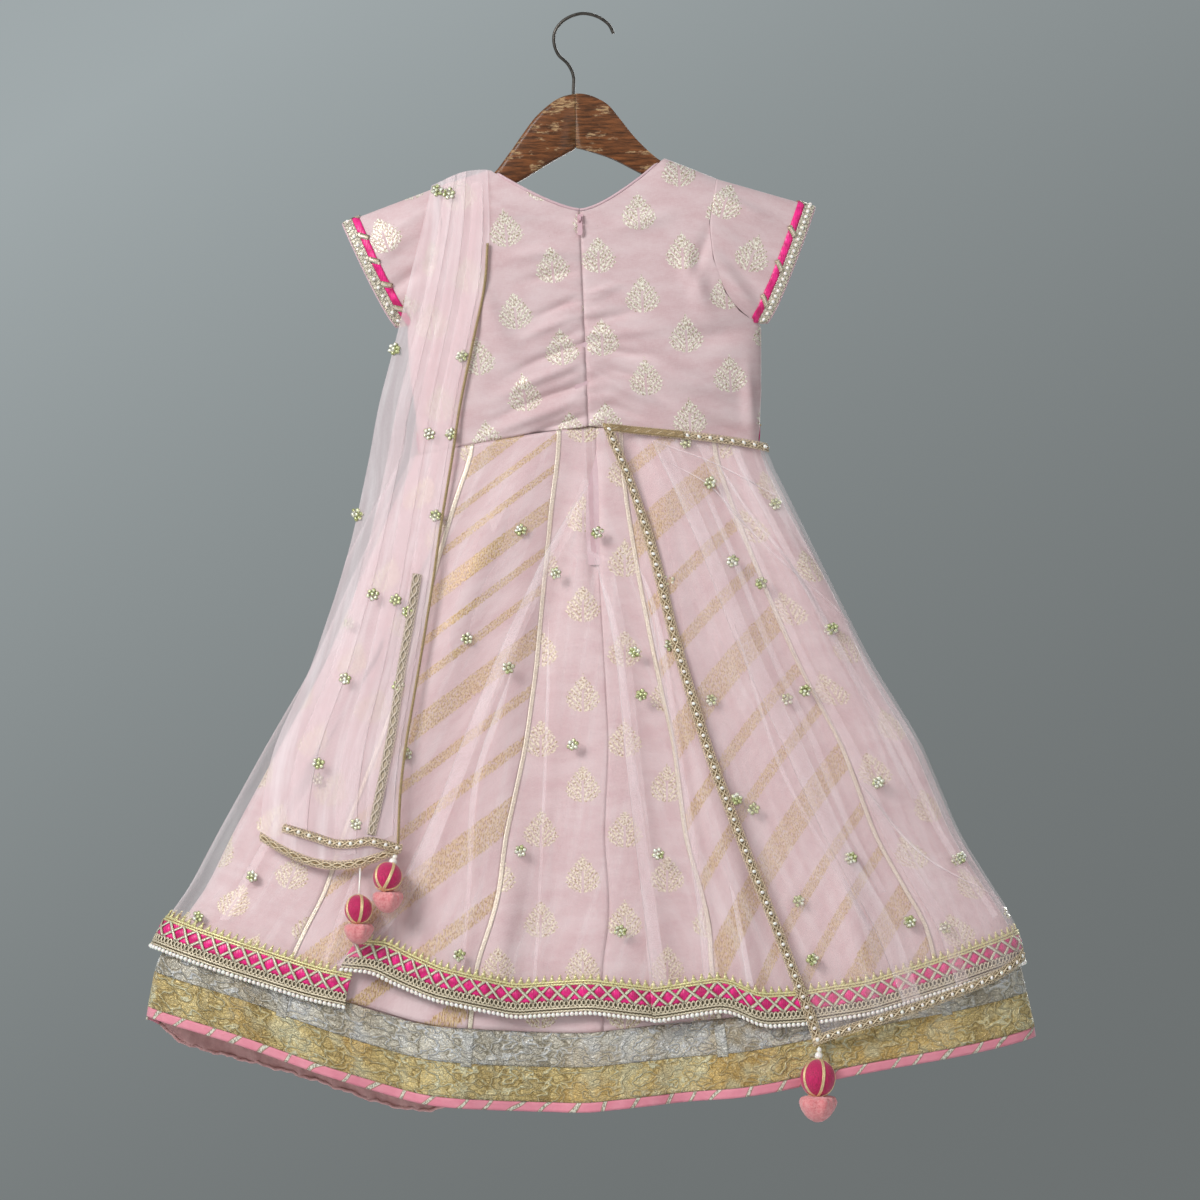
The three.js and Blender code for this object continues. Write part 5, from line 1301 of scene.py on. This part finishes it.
def on_net(side, rise=0.0):
    """Finds a place on the net by (x, z), and out from it; rise may depend on the place."""
    def at(x, z, out):
        x, z = np.asarray(x, float), np.asarray(z, float)
        here = points(x, 0 * x, z)
        lift = (rise(here) if callable(rise) else rise) + gathers(side)(here)
        spots = skirt_point("net", side, net_phi(x, z), z)
        across_step = skirt_point("net", side, net_phi(x + 2, z), z) - spots
        down_step = skirt_point("net", side, net_phi(x, z - 2), z - 2) - spots
        normal = np.cross(across_step, down_step)
        normal /= np.maximum(np.linalg.norm(normal, axis=-1, keepdims=True), 1e-9)
        return spots - side * normal * (out + lift)[..., None]
    return at


def back_net_rise(spots):
    """Which part of the net is outermost at a place, and how far it stands off."""
    x, z = spots[..., 0], spots[..., 2]
    centre = np.where((x > eased(FOLD_LINE, "x", z, 24)) & (z < FOLD_LINE["z"][0]), FOLD_RISE, 0)
    return np.where(x > eased(LAP_LINE, "x", z, 30), right_net_rise(spots), centre)


on_back, on_front = on_net(1, back_net_rise), on_net(-1)


def pleat_form(line, wide, foot_wide, rise):
    """A pleat beside a line: its outer layer, the rounded edge, and the layer turned under."""
    path = smooth_line(line, 60)
    run = np.linspace(0, 1, len(path))

    def form(u, v):
        x, z = np.interp(v, run, path[:, 0]), np.interp(v, run, path[:, 1])
        ends = 0.25 + 0.75 * smooth(v / 0.15)
        turn = 2 * u - 1
        far = np.abs(turn)
        inward = mix(wide, foot_wide, v) * ends * far ** 1.6
        sign = np.sign(turn) * smooth(far / 0.3)
        out = rise * ends * (0.5 + 0.5 * sign) * (1 - far ** 2) + 0.25
        return on_back(x + inward, z, out)
    return form


for k, (line, wide, foot_wide, rise) in enumerate(NET_FOLDS):
    made = cloth(f"net_fold_{k + 1}", pleat_form(line, wide, foot_wide, rise), 16, 60)
    put(f"net_fold_{k + 1}", made, net_cloth)

# Butis of small cupped sequins: seven to a group, in a ring round the middle one.
sequin, shader = material("gold_sequin", Specular_IOR_Level=0.7, Coat_Weight=0.3)
tone = noise(place_of(shader), 0.11, 2, 0.6)
glint = noise(place_of(shader), 0.5, 2, 0.6)
feed(shader, Base_Color=blend(ramp(tone, 0.42, 0.58),
                              blend(ramp(glint, 0.35, 0.6), "8d9050", "dfe3a8"),
                              blend(ramp(glint, 0.35, 0.6), "bdb78c", "fffdf2")),
     Roughness=scaled(glint, 0.3, 0.1), Metallic=scaled(tone, -0.1, 0.3))
BUTI_RING = [(0, 0)] + [(4.0 * math.cos(k * math.pi / 3 + 0.3),
                         4.0 * math.sin(k * math.pi / 3 + 0.3)) for k in range(6)]


def butis(name, places, at):
    """Groups of sequins at places (x, z), each group a little uneven."""
    shape = bmesh.new()
    bmesh.ops.create_cone(shape, cap_ends=True, segments=9, radius1=2.15, radius2=1.0, depth=0.8)
    bmesh.ops.rotate(shape, verts=shape.verts, cent=(0, 0, 0),
                     matrix=Matrix.Rotation(math.radians(-90), 3, "X"))
    chance = np.random.default_rng(len(places))
    sizes = chance.uniform(0.86, 1.04, (len(places), len(BUTI_RING), 1))
    spots = np.array(places, float)[:, None] + np.array(BUTI_RING) * sizes
    spots = spots + chance.uniform(-0.35, 0.35, spots.shape)
    lift = 0.9 + 0.5 * chance.random(spots.shape[:2])
    return sewn(name, shape, at, spots[..., 0], spots[..., 1], lift, sequin)


BACK_BUTIS = [(-104, -573), (-55, -474), (-55, -766), (48, -586), (-23, -514), (15, -477), (-66, -600),
              (96, -394), (118, -431), (178, -450), (138, -503), (164, -523), (228, -565), (204, -621),
              (188, -628), (119, -629), (80, -520), (82, -579), (-7, -670), (54, -625), (141, -719),
              (157, -728), (245, -773), (270, -705), (69, -769), (36, -838), (-110, -860), (299, -831),
              (344, -776), (332, -837), (393, -825), (210, -864), (198, -811), (-159, -678), (-240, -702),
              (-300, -790), (-212, -560), (-350, -828)]
FRONT_BUTIS = [(-120, -440), (-52, -470), (14, -432), (76, -486), (128, -446), (-168, -540), (-88, -566),
               (-10, -548), (60, -590), (150, -560), (212, -610), (-226, -640), (-140, -668), (-58, -650),
               (26, -690), (108, -664), (186, -706), (262, -690), (-280, -742), (-196, -770), (-112, -752),
               (-30, -790), (64, -768), (148, -802), (232, -782), (310, -790), (-330, -822), (-240, -850),
               (-150, -846), (-70, -868), (20, -862), (110, -872), (200, -858), (286, -852), (362, -826)]
butis("net_butis_back", BACK_BUTIS, on_back)
butis("net_butis_front", FRONT_BUTIS, on_front)

# ---- Lace of the net's hem -----------------------------------------------------------------------
# Six trims sewn one above the other: pearls, two fine cords, a looped braid, magenta satin puffed
# under crossing gota strips, and a gold braid with points. One length goes round each part.
# the braid's ground is painted near black: dark thread with painted shade in the gaps between the loops
looped = thread_paint("braid_ground", "2f281c", "776a50", 0.4, 0.5)
loop_cord = thread_paint("looped_braid", "665238", "f3e5ca", 0.42, 0.4)
braid_gold = thread_paint("gold_braid", "8f7b3c", "fbf1b8", 0.36, 0.36)
cross_gota = thread_paint("gota_strip", "aa9d72", "fffce8", 0.3, 0.34)


def course_tube(name, at, total, inward, out, radius, paint, wave, samples):
    """A round trim along a course; wave is the size and pitch of its sideways turns."""
    along = np.linspace(0.3, total - 0.3, samples)
    line = at(along, inward + wave[0] * np.sin(2 * np.pi * along / wave[1]), out + 0 * along)
    return cord(name, line, radius, 6, paint)


def peak(wide, tall, thick):
    """A small pointed tuft that lies flat, its tip pointing away from the edge."""
    bm = bmesh.new()
    bmesh.ops.create_cone(bm, cap_ends=True, segments=6, radius1=wide / 2, radius2=wide / 9, depth=tall)
    bmesh.ops.scale(bm, vec=(1, thick / wide, 1), verts=bm.verts)
    return bm


CROSS_PITCH, CROSS_HEIGHT = 15.6, 15.0  # of the gota strips that cross over the satin
LACE_TUBES = [
    # name, in from the hem's edge, out from the net, radius, paint, slot, (size, pitch) of its turns
    ("cord_1", 4.4, 1.5, 0.95, loop_cord, "lace", (0.3, 3.4)),
    ("cord_2", 7.2, 1.5, 0.95, loop_cord, "lace", (0.3, 3.4)),
    ("braid_line_1", 28.4, 1.8, 1.1, braid_gold, "gold_zari", (0.35, 3.1)),
    ("braid_line_2", 30.8, 1.7, 1.1, braid_gold, "gold_zari", (-0.35, 3.1)),
]


def hem_lace(label, form, side):
    """All the trims of one part's lace, each a joined mesh; heights are from the hem's edge."""
    at, total = course(form, side, 900)
    fine = 1.1 if side > 0 else 1.6
    braid = lambda u, v: at(u * total, mix(14.6, 3.4, v), 0.55 + 0 * u)
    strip_of_cloth(f"{label}_braid_ground", braid, int(total / 4), 3, 0.6, looped, [label])

    def puffed(u, v):
        p, q = u * total / pitch, (1 - v) + 0.5
        puff = np.abs(np.cos(np.pi * (p - q)) * np.cos(np.pi * (p + q)))
        return at(u * total, mix(29.4, 13.8, v), 0.9 + 1.9 * puff * np.sin(np.pi * v) ** 0.4)
    crossings = max(1, round(total / CROSS_PITCH))
    pitch = total / crossings
    satin_mesh = cloth(f"{label}_satin", puffed, int(total / 1.9), 8)
    thicken(put(f"{label}_satin", satin_mesh, magenta), 0.5, -1.0)
    along = (np.arange(crossings) + 0.5) * pitch
    length = math.hypot(pitch, CROSS_HEIGHT)
    lean = math.atan2(CROSS_HEIGHT, pitch)
    for number, way in ((1, lean), (2, -lean)):
        tie = strip(length * 0.95, 2.5, 0.4, 6, way, 0.35, 0.3)
        sewn(f"{label}_cross_{number}", tie, at, along, 21.6, 1.8 + 0.4 * number, cross_gota)
    sewn(f"{label}_loops", ring(1.75, 0.62, 10, 5, 1.55), at, steps_along(total, 4.1), 11.2, 1.7,
         loop_cord)
    for part, inward, out, radius, paint, slot, wave in LACE_TUBES:
        course_tube(f"{label}_{part}", at, total, inward, out, radius, paint, wave, int(total / fine))
    for part, shape, apart, inward, out, paint, slot in (
            ("points", peak(6.4, 4.6, 1.9), 7.4, 33.9, 1.4, braid_gold, "gold_zari"),
            ("picots", bead(1.05, 6), 7.4, 36.4, 1.4, braid_gold, "gold_zari"),
            ("pearls", bead(2.05), 4.3, 1.5, 1.4, pearl, "lace")):
        sewn(f"{label}_{part}", shape, at, steps_along(total, apart), inward, out, paint)


for name, (side, form) in net_forms.items():
    hem_lace(f"net_lace_{name}", form, side)

# ---- Dupatta -------------------------------------------------------------------------------------
# A long net scarf worn as two drapes: one pleated at the left shoulder, one pinned at the middle of
# the waist and opened over the right side. Antique gold crochet lace with pearls edges it.
LEFT_DRAPE = {
    "z": [-142, -190, -250, -290, -362, -405, -472, -525, -600, -670, -713, -800],
    "inner": [-86, -83, -86, -95, -110, -116, -127, -134, -146, -158, -163, -166],
    "outer": [-134, -143, -158, -167, -186, -194, -208, -222, -247, -280, -290, -295],
}
RIGHT_EDGE = {"z": [-377, -426, -496, -575, -679, -764, -854, -943],
              "x": [17, 39, 62, 81, 112, 143, 179, 213]}
RIGHT_DRAPE_END = 0.955 * math.pi  # how far round the right drape goes, short of the side seam
DRAPE_RISE = 3.2
EYELET_PITCH, LACE_LOOP_PITCH = 10.2, 3.3


def left_limits(u):
    top_x = mix(LEFT_DRAPE["inner"][0], LEFT_DRAPE["outer"][0], u)
    sag = np.sin(np.pi * u)
    return read(TOP_LINE, "z", top_x) + 1 + 5 * sag, mix(-768, -757, u) - 20 * sag


def left_drape(u, v):
    """Hangs from the shoulder over bodice and net; u runs from its inner edge to its outer one."""
    z = mix(*left_limits(u), v)
    x = mix(eased(LEFT_DRAPE, "inner", z, 16), eased(LEFT_DRAPE, "outer", z, 16), u)
    inward = 14 * u
    body_x = np.maximum(x + inward * 0.6, read(BODICE, "left", z) + 16)
    on_body = body_point(1, body_x, z)[..., 1] - BROCADE / 2
    on_skirt = skirt_point("net", 1, net_phi(x + inward, z), z)[..., 1] - NET / 2
    gathered = 2 * smooth((z + 200) / 40)
    shown = smooth((z + 800) / 500) * smooth((-150 - z) / 40)
    pleat = 1.0 * (1 - np.cos(u * 5 * np.pi)) * shown
    fine = 0.22 * np.sin(u * 27 + 2 * np.sin(z / 90)) + 0.1 * np.sin(u * 53 + z / 60)
    fine *= smooth((-150 - z) / 60)
    out = 2.4 + gathered + pleat + fine + 3 * smooth((-300 - z) / 300)
    return points(x, mix(on_body, on_skirt, smooth((-350 - z) / 60)) - out, z)


def off_drape(form, side, limits, u, z, out):
    """A place on a drape by u and z, and out from it."""
    top, bottom = limits
    v = (z - top) / (bottom - top)
    normal = normal_of(form, np.clip(u, 0, 1), np.clip(v, 0, 1))
    return form(u, v) - side * normal * np.asarray(out)[..., None]


def on_left_drape(x, z, out):
    x, z = np.asarray(x, float), np.asarray(z, float)
    inner, outer = eased(LEFT_DRAPE, "inner", z, 16), eased(LEFT_DRAPE, "outer", z, 16)
    u = (x - inner) / (outer - inner)
    return off_drape(left_drape, -1, left_limits(np.clip(u, 0, 1)), u, z, out)


def right_limits(u):
    return -377 - 19 * u, -943 + 76 * np.maximum(u, 0) ** 0.85


def right_drape(u, v):
    """Lies on the right part of the net; u runs from the free slanting edge to the side."""
    z = mix(*right_limits(u), v)
    start = net_phi(eased(RIGHT_EDGE, "x", z, 20), z)
    phi = mix(start, RIGHT_DRAPE_END, u)
    spots = skirt_point("net", 1, phi, z)
    step = skirt_point("net", 1, phi + 0.01, z) - spots
    drop = skirt_point("net", 1, phi, z - 2) - spots
    normal = np.cross(step, drop)
    normal /= np.maximum(np.linalg.norm(normal, axis=-1, keepdims=True), 1e-9)
    fold = 2.5 * (1 - np.cos(4 * np.pi * u)) * down(z)
    fine = 0.25 * (np.sin(u * 61 + z / 80) + np.sin(u * 97)) * down(z) ** 0.5
    lift = right_net_rise(spots) + DRAPE_RISE + fold + fine + 2 * smooth((u - 0.75) / 0.2)
    return spots - normal * lift[..., None]


def on_right_drape(x, z, out):
    x, z = np.asarray(x, float), np.asarray(z, float)
    start = net_phi(eased(RIGHT_EDGE, "x", z, 20), z)
    u = (net_phi(x, z) - start) / (RIGHT_DRAPE_END - start)
    return off_drape(right_drape, 1, right_limits(u), u, z, out)


drape_cloth = net_paint("dupatta_net", 0.11, "f3dbdd", "f8edee")
pleated_cloth = net_paint("dupatta_net_pleated", 0.48, "e3cacd", "f1e3e5")
for name, form, columns, rows in (("left", left_drape, 90, 150), ("right", right_drape, 110, 120)):
    made = cloth(f"dupatta_{name}", form, columns, rows)
    piece = put(f"dupatta_{name}_cloth", made, pleated_cloth if name == "left" else drape_cloth,
                [f"dupatta_{name}"])


def tuck(form, side, from_u, to_u, wide, rise, top=0.0, foot=1.0):
    """A pleat along a drape: an outer layer, its rounded edge and the layer under it."""
    def pleat(u, v):
        turn = 2 * u - 1
        far = np.abs(turn)
        place = mix(top, foot, v)
        sign = np.sign(turn) * smooth(far / 0.3)
        ends = smooth(v / 0.06)
        base = mix(from_u, to_u, v) + wide * far ** 1.5
        spots = form(base, place)
        stand = rise * ends * (0.5 + 0.5 * sign) * (1 - far ** 2) + 0.3
        return spots - side * normal_of(form, np.clip(base, 0, 1), place) * stand[..., None]
    return pleat


TUCKS = {
    "left": (left_drape, -1, [(0.1, 0.04, 0.2, 1.4, 0.02, 0.97), (0.4, 0.3, 0.16, 1.6, 0.0, 0.98),
                              (0.6, 0.66, 0.16, 1.4, 0.0, 0.96)]),
    "right": (right_drape, 1, [(0.2, 0.3, 0.07, 1.6, 0.02, 0.98), (0.42, 0.52, 0.06, 2.0, 0.02, 0.98),
                               (0.62, 0.8, 0.06, 1.8, 0.02, 0.9), (0.34, 0.36, 0.03, 1.2, 0.1, 0.8)]),
}
for name, (form, side, rows) in TUCKS.items():
    for k, row in enumerate(rows):
        label = f"dupatta_{name}_pleat_{k + 1}"
        put(label, cloth(label, tuck(form, side, *row), 12, 80), drape_cloth)


def crochet(name, at, total, node_names=(), wide=8.6, pearls=1.0, out=1.2, ground_paint=None,
            cord_paint=None):
    """Crochet lace: two cords cross to make eyelets, looped edges run along both sides, and a pearl
    sits in each eyelet over that share of the length, from its start."""
    ground_paint, cord_paint = ground_paint or lace_ground, cord_paint or crochet_cord
    middle = wide / 2
    pitch = total / max(1, round(total / EYELET_PITCH))
    ground = lambda u, v: at(u * total, middle + wide * 0.36 * (1 - 2 * v), out - 0.5 + 0 * u)
    strip_of_cloth(f"{name}_ground", ground, max(8, int(total / 5)), 2, 0.4, ground_paint, node_names)
    for number, sign in ((1, 1), (2, -1)):
        along = np.linspace(0, total, int(total / 1.0))
        swing = sign * wide * 0.25 * np.sin(np.pi * along / pitch)
        over = 0.25 * sign * np.cos(np.pi * along / pitch)
        line = at(along, middle + swing, out + 0.3 + over)
        cord(f"{name}_cord_{number}", line, 0.75, 5, cord_paint)
    places = steps_along(total, LACE_LOOP_PITCH)
    rows = np.repeat([middle + wide * 0.38, middle - wide * 0.38], len(places))
    sewn(f"{name}_loops", ring(1.35, 0.5, 8, 4, 0.85), at, np.tile(places, 2), rows, out, cord_paint)
    if pearls:
        eyes = (np.arange(round(pearls * total / pitch)) + 0.5) * pitch
        sewn(f"{name}_pearls", bead(1.8), at, eyes, middle, out + 0.8, pearl)


crochet_cord = thread_paint("crochet_cord", "6f5539", "f3dfbf", 0.4, 0.4)
veiled_cord = thread_paint("crochet_cord_under_net", "9a8873", "e6d6c6", 0.3, 0.5)
veiled_ground = thread_paint("crochet_ground_under_net", "93826a", "bfae96", 0.2, 0.55)
flat_braid = thread_paint("flat_waist_braid", "55402a", "bfa276", 0.4, 0.45)
rope_thread = thread_paint("twisted_edge_cord", "3c2d1a", "c9b184", 0.4, 0.42)
lace_ground, shader = material("crochet_ground", Sheen_Weight=0.1, Specular_IOR_Level=0.5, Metallic=0.35,
                               Roughness=0.5)
spot = place_of(shader)
knots = noise(spot, 0.9, 3, 0.7)
feed(shader, Base_Color=blend(ramp(knots, 0.35, 0.65), "5a4328", "b89c72"),
     Alpha=ramp(knots, 0.3, 0.42))
bump(shader, knots, 0.7, 0.0006)

down_left = lambda u, v: left_drape(1 - v, u)
down_right = lambda u, v: right_drape(1 - v, u)
along_waist = lambda u, v: right_drape(1 - u, 1 - v)


def laid_left(places, wide, out):
    """A band of lace laid on the left drape, its lower edge through places on the (x, z) plane."""
    path = smooth_line(places, 80)
    run = np.linspace(0, 1, len(path))
    ahead = np.gradient(path, axis=0)
    ahead /= np.linalg.norm(ahead, axis=1, keepdims=True)

    def form(u, v):
        x, z, ax, az = (np.interp(u, run, k) for k in (path[:, 0], path[:, 1], ahead[:, 0], ahead[:, 1]))
        return on_left_drape(x - az * wide * (1 - v), z + ax * wide * (1 - v), out + 0 * u)
    return form


# The drape is doubled: its front layer ends in a lace above the back layer's, and the pleat under
# its inner edge carries a lace too, seen through the net.
upper_hem = laid_left([(-272, -749), (-247, -756), (-224, -763), (-205, -763), (-190, -761), (-163, -768)],
                      7.5, 1.5)
inner_pleat = laid_left([(-145, -515), (-151, -555), (-159, -600), (-167, -655), (-181, -727),
                         (-186, -752)], -8, 0.5)
for name, form, side, nodes, wide, pearls in (
        ("dupatta_left_hem", left_drape, -1, ["dupatta_left_hem_lace"], 7.6, 0),
        ("dupatta_left_upper_hem", upper_hem, 1, [], 7.5, 1.0),
        ("dupatta_left_inner", inner_pleat, -1, [], 9.0, 0),
        ("dupatta_right_edge", down_right, 1, ["dupatta_right_edge_lace"], 9.6, 1.0),
        ("dupatta_right_waist", along_waist, 1, [], 7.0, 0.5),
        ("dupatta_right_hem", right_drape, 1, ["dupatta_right_hem_lace"], 8.6, 1.0)):
    at, total = course(form, side, 700)
    paints = (veiled_ground, veiled_cord) if name == "dupatta_left_inner" else (None, None)
    crochet(name, at, total, nodes, wide, pearls, 1.2, *paints)
    if name == "dupatta_right_waist":  # towards the middle its eyelets close up and it lies flat
        flat = lambda u, v: at(total * mix(0.52, 1, u), mix(6.6, 0.4, v), 2.0 + 0 * u)
        strip_of_cloth(f"{name}_flat", flat, 40, 4, 0.6, flat_braid)

# A fine twisted cord binds the front edge of the left drape, from below the shoulder to its foot.
at, total = course(down_left, -1, 700)
along = np.linspace(78, total, int(total / 0.9))
for number, turn in ((1, 0.0), (2, math.pi)):
    angle = 2 * np.pi * along / 4.6 + turn
    line = at(along, 1.3 + 0.75 * np.cos(angle), 1.0 + 0.75 * np.sin(angle))
    cord(f"dupatta_left_edge_strand_{number}", line, 0.85, 5, rope_thread,
         ["dupatta_left_edge_lace"] if number == 1 else [])

butis("dupatta_left_butis",
      [(-132, -163), (-121, -166), (-109, -315), (-171, -308), (-139, -386), (-119, -386), (-133, -461),
       (-206, -460), (-190, -533), (-169, -538), (-158, -549), (-215, -610), (-166, -616), (-239, -687),
       (-204, -742)], on_left_drape)
butis("dupatta_right_butis",
      [(118, -431), (138, -503), (164, -523), (204, -621), (141, -719), (245, -773), (270, -705),
       (299, -831), (344, -776), (210, -864), (228, -565)], on_right_drape)

# ---- Latkans -------------------------------------------------------------------------------------
# Tassels on the dupatta's corners: pearl beads on a cord, a padded ball wound in crimson thread with
# gold ties from pole to pole, and a soft pompom under it.
wound, shader = material("wound_crimson_thread", Sheen_Weight=0.25, Specular_IOR_Level=0.45)
spot = place_of(shader)
threads = noise(mapped(spot, (2.2, 2.2, 0.12)), 1.0, 3, 0.6)
feed(shader, Base_Color=blend(ramp(threads, 0.3, 0.7), "9c003e", "e0156c"),
     Roughness=scaled(threads, 0.25, 0.42))
bump(shader, threads, 0.8, 0.0008)
fuzz, shader = material("pompom_wool", Sheen_Weight=0.6, Sheen_Roughness=0.4, Specular_IOR_Level=0.2,
                        Roughness=0.9)
spot = place_of(shader)
feed(shader, Base_Color=blend(ramp(noise(spot, 0.5, 4, 0.7), 0.35, 0.65), "ee8388", "ffb0b0"))
bump(shader, noise(spot, 1.4, 4, 0.8), 0.9, 0.0012)


def latkan(name, edge, lean, radius, with_bead):
    """One tassel: edge is the point of the lace it hangs from, lean the ball's place from there."""
    top = Vector(edge) + Vector((0, 0, -1.2))
    ball = Vector(edge) + Vector(lean)
    hang = top - ball
    turn = Vector((0, 0, 1)).rotation_difference(hang.normalized()).to_matrix().to_4x4()
    turn.translation = ball

    def add(bm, part, paint, replaced=()):
        bm.transform(Matrix.Scale(MM, 4) @ turn)
        bmesh.ops.recalc_face_normals(bm, faces=bm.faces)
        return put(f"{name}_{part}", bm, paint, replaced)

    bm = bmesh.new()
    bmesh.ops.create_uvsphere(bm, u_segments=64, v_segments=28, radius=radius)
    for vert in bm.verts:
        angle = math.atan2(vert.co.y, vert.co.x)
        lobe = 1 - 0.05 * math.exp(-(math.sin(angle * 2.5) / 0.22) ** 2) * (1 - (vert.co.z / radius) ** 2)
        vert.co.x *= lobe * 0.96
        vert.co.y *= lobe * 0.96
        vert.co.z *= 1.03
    add(bm, "wound_ball", wound, [f"{name}_ball"])
    bm = bmesh.new()
    for k in range(5):
        angle = k * 2 * math.pi / 5
        sideways = Vector((-math.sin(angle), math.cos(angle), 0))
        arc = [Vector((radius * 0.95 * math.cos(t) * math.cos(angle),
                       radius * 0.95 * math.cos(t) * math.sin(angle),
                       radius * 1.04 * math.sin(t))) for t in np.linspace(-1.45, 1.45, 24)]
        for shift in (-0.85, 0.0, 0.85):
            tube(bm, [spot + sideways * shift for spot in arc], 0.62, 5)
    for height in (-0.99, 0.99):
        loop = bmesh.ops.create_uvsphere(bm, u_segments=12, v_segments=6, radius=radius * 0.2)["verts"]
        bmesh.ops.scale(bm, vec=(1, 1, 0.45), verts=loop)
        bmesh.ops.translate(bm, vec=(0, 0, height * radius), verts=loop)
    add(bm, "gold_ties", bright_gold)
    bm = bmesh.new()
    length = hang.length
    tube(bm, [Vector((0, 0, radius * 0.9)), Vector((0, 0, (radius + length) / 2)), Vector((0, 0, length))],
         0.9, 7)
    if with_bead:
        big = bmesh.ops.create_uvsphere(bm, u_segments=20, v_segments=12, radius=3.7)["verts"]
        bmesh.ops.translate(bm, vec=(0, 0, radius + 4.0), verts=big)
        small = bmesh.ops.create_uvsphere(bm, u_segments=16, v_segments=10, radius=2.4)["verts"]
        bmesh.ops.translate(bm, vec=(0.3, 0, radius + 9.6), verts=small)
    add(bm, "pearls_on_cord", pearl, [f"{name}_bead"] if with_bead else [])

    # The pompom: a cut tuft, wavy at its rim and fuzzy all over.
    chance = np.random.default_rng(int(radius * 10))
    size = radius * 0.98
    bm = bmesh.new()
    bmesh.ops.create_icosphere(bm, subdivisions=5, radius=size)
    for vert in bm.verts:
        angle = math.atan2(vert.co.y, vert.co.x)
        flat = 1 - abs(vert.co.z) / size
        wave = 1 + flat * (0.07 * math.sin(5 * angle + 1) + 0.05 * math.sin(9 * angle))
        vert.co = vert.co * (wave + chance.uniform(-0.018, 0.022))
        vert.co.z *= 0.74
        vert.co.z += 0.34 * size * min(1, (math.hypot(vert.co.x, vert.co.y) / size) ** 2)  # hugs the ball
    bmesh.ops.translate(bm, vec=(0, 0, -(radius * 1.03 + 0.4 + size * 0.74 - size * 0.1)), verts=bm.verts)
    turn.identity()
    turn.translation = ball
    add(bm, "tuft", fuzz, [f"{name}_pompom"])


latkan("latkan_right", (215.9, -70.4, -941.4), (-1.5, -8.5, -29), 16.5, True)
latkan("latkan_left_upper", (-168.8, -63.2, -769.6), (-6, -14, -19), 13.5, True)
latkan("latkan_left_lower", (-200, -63.1, -780), (-1, -16, -38), 13, False)
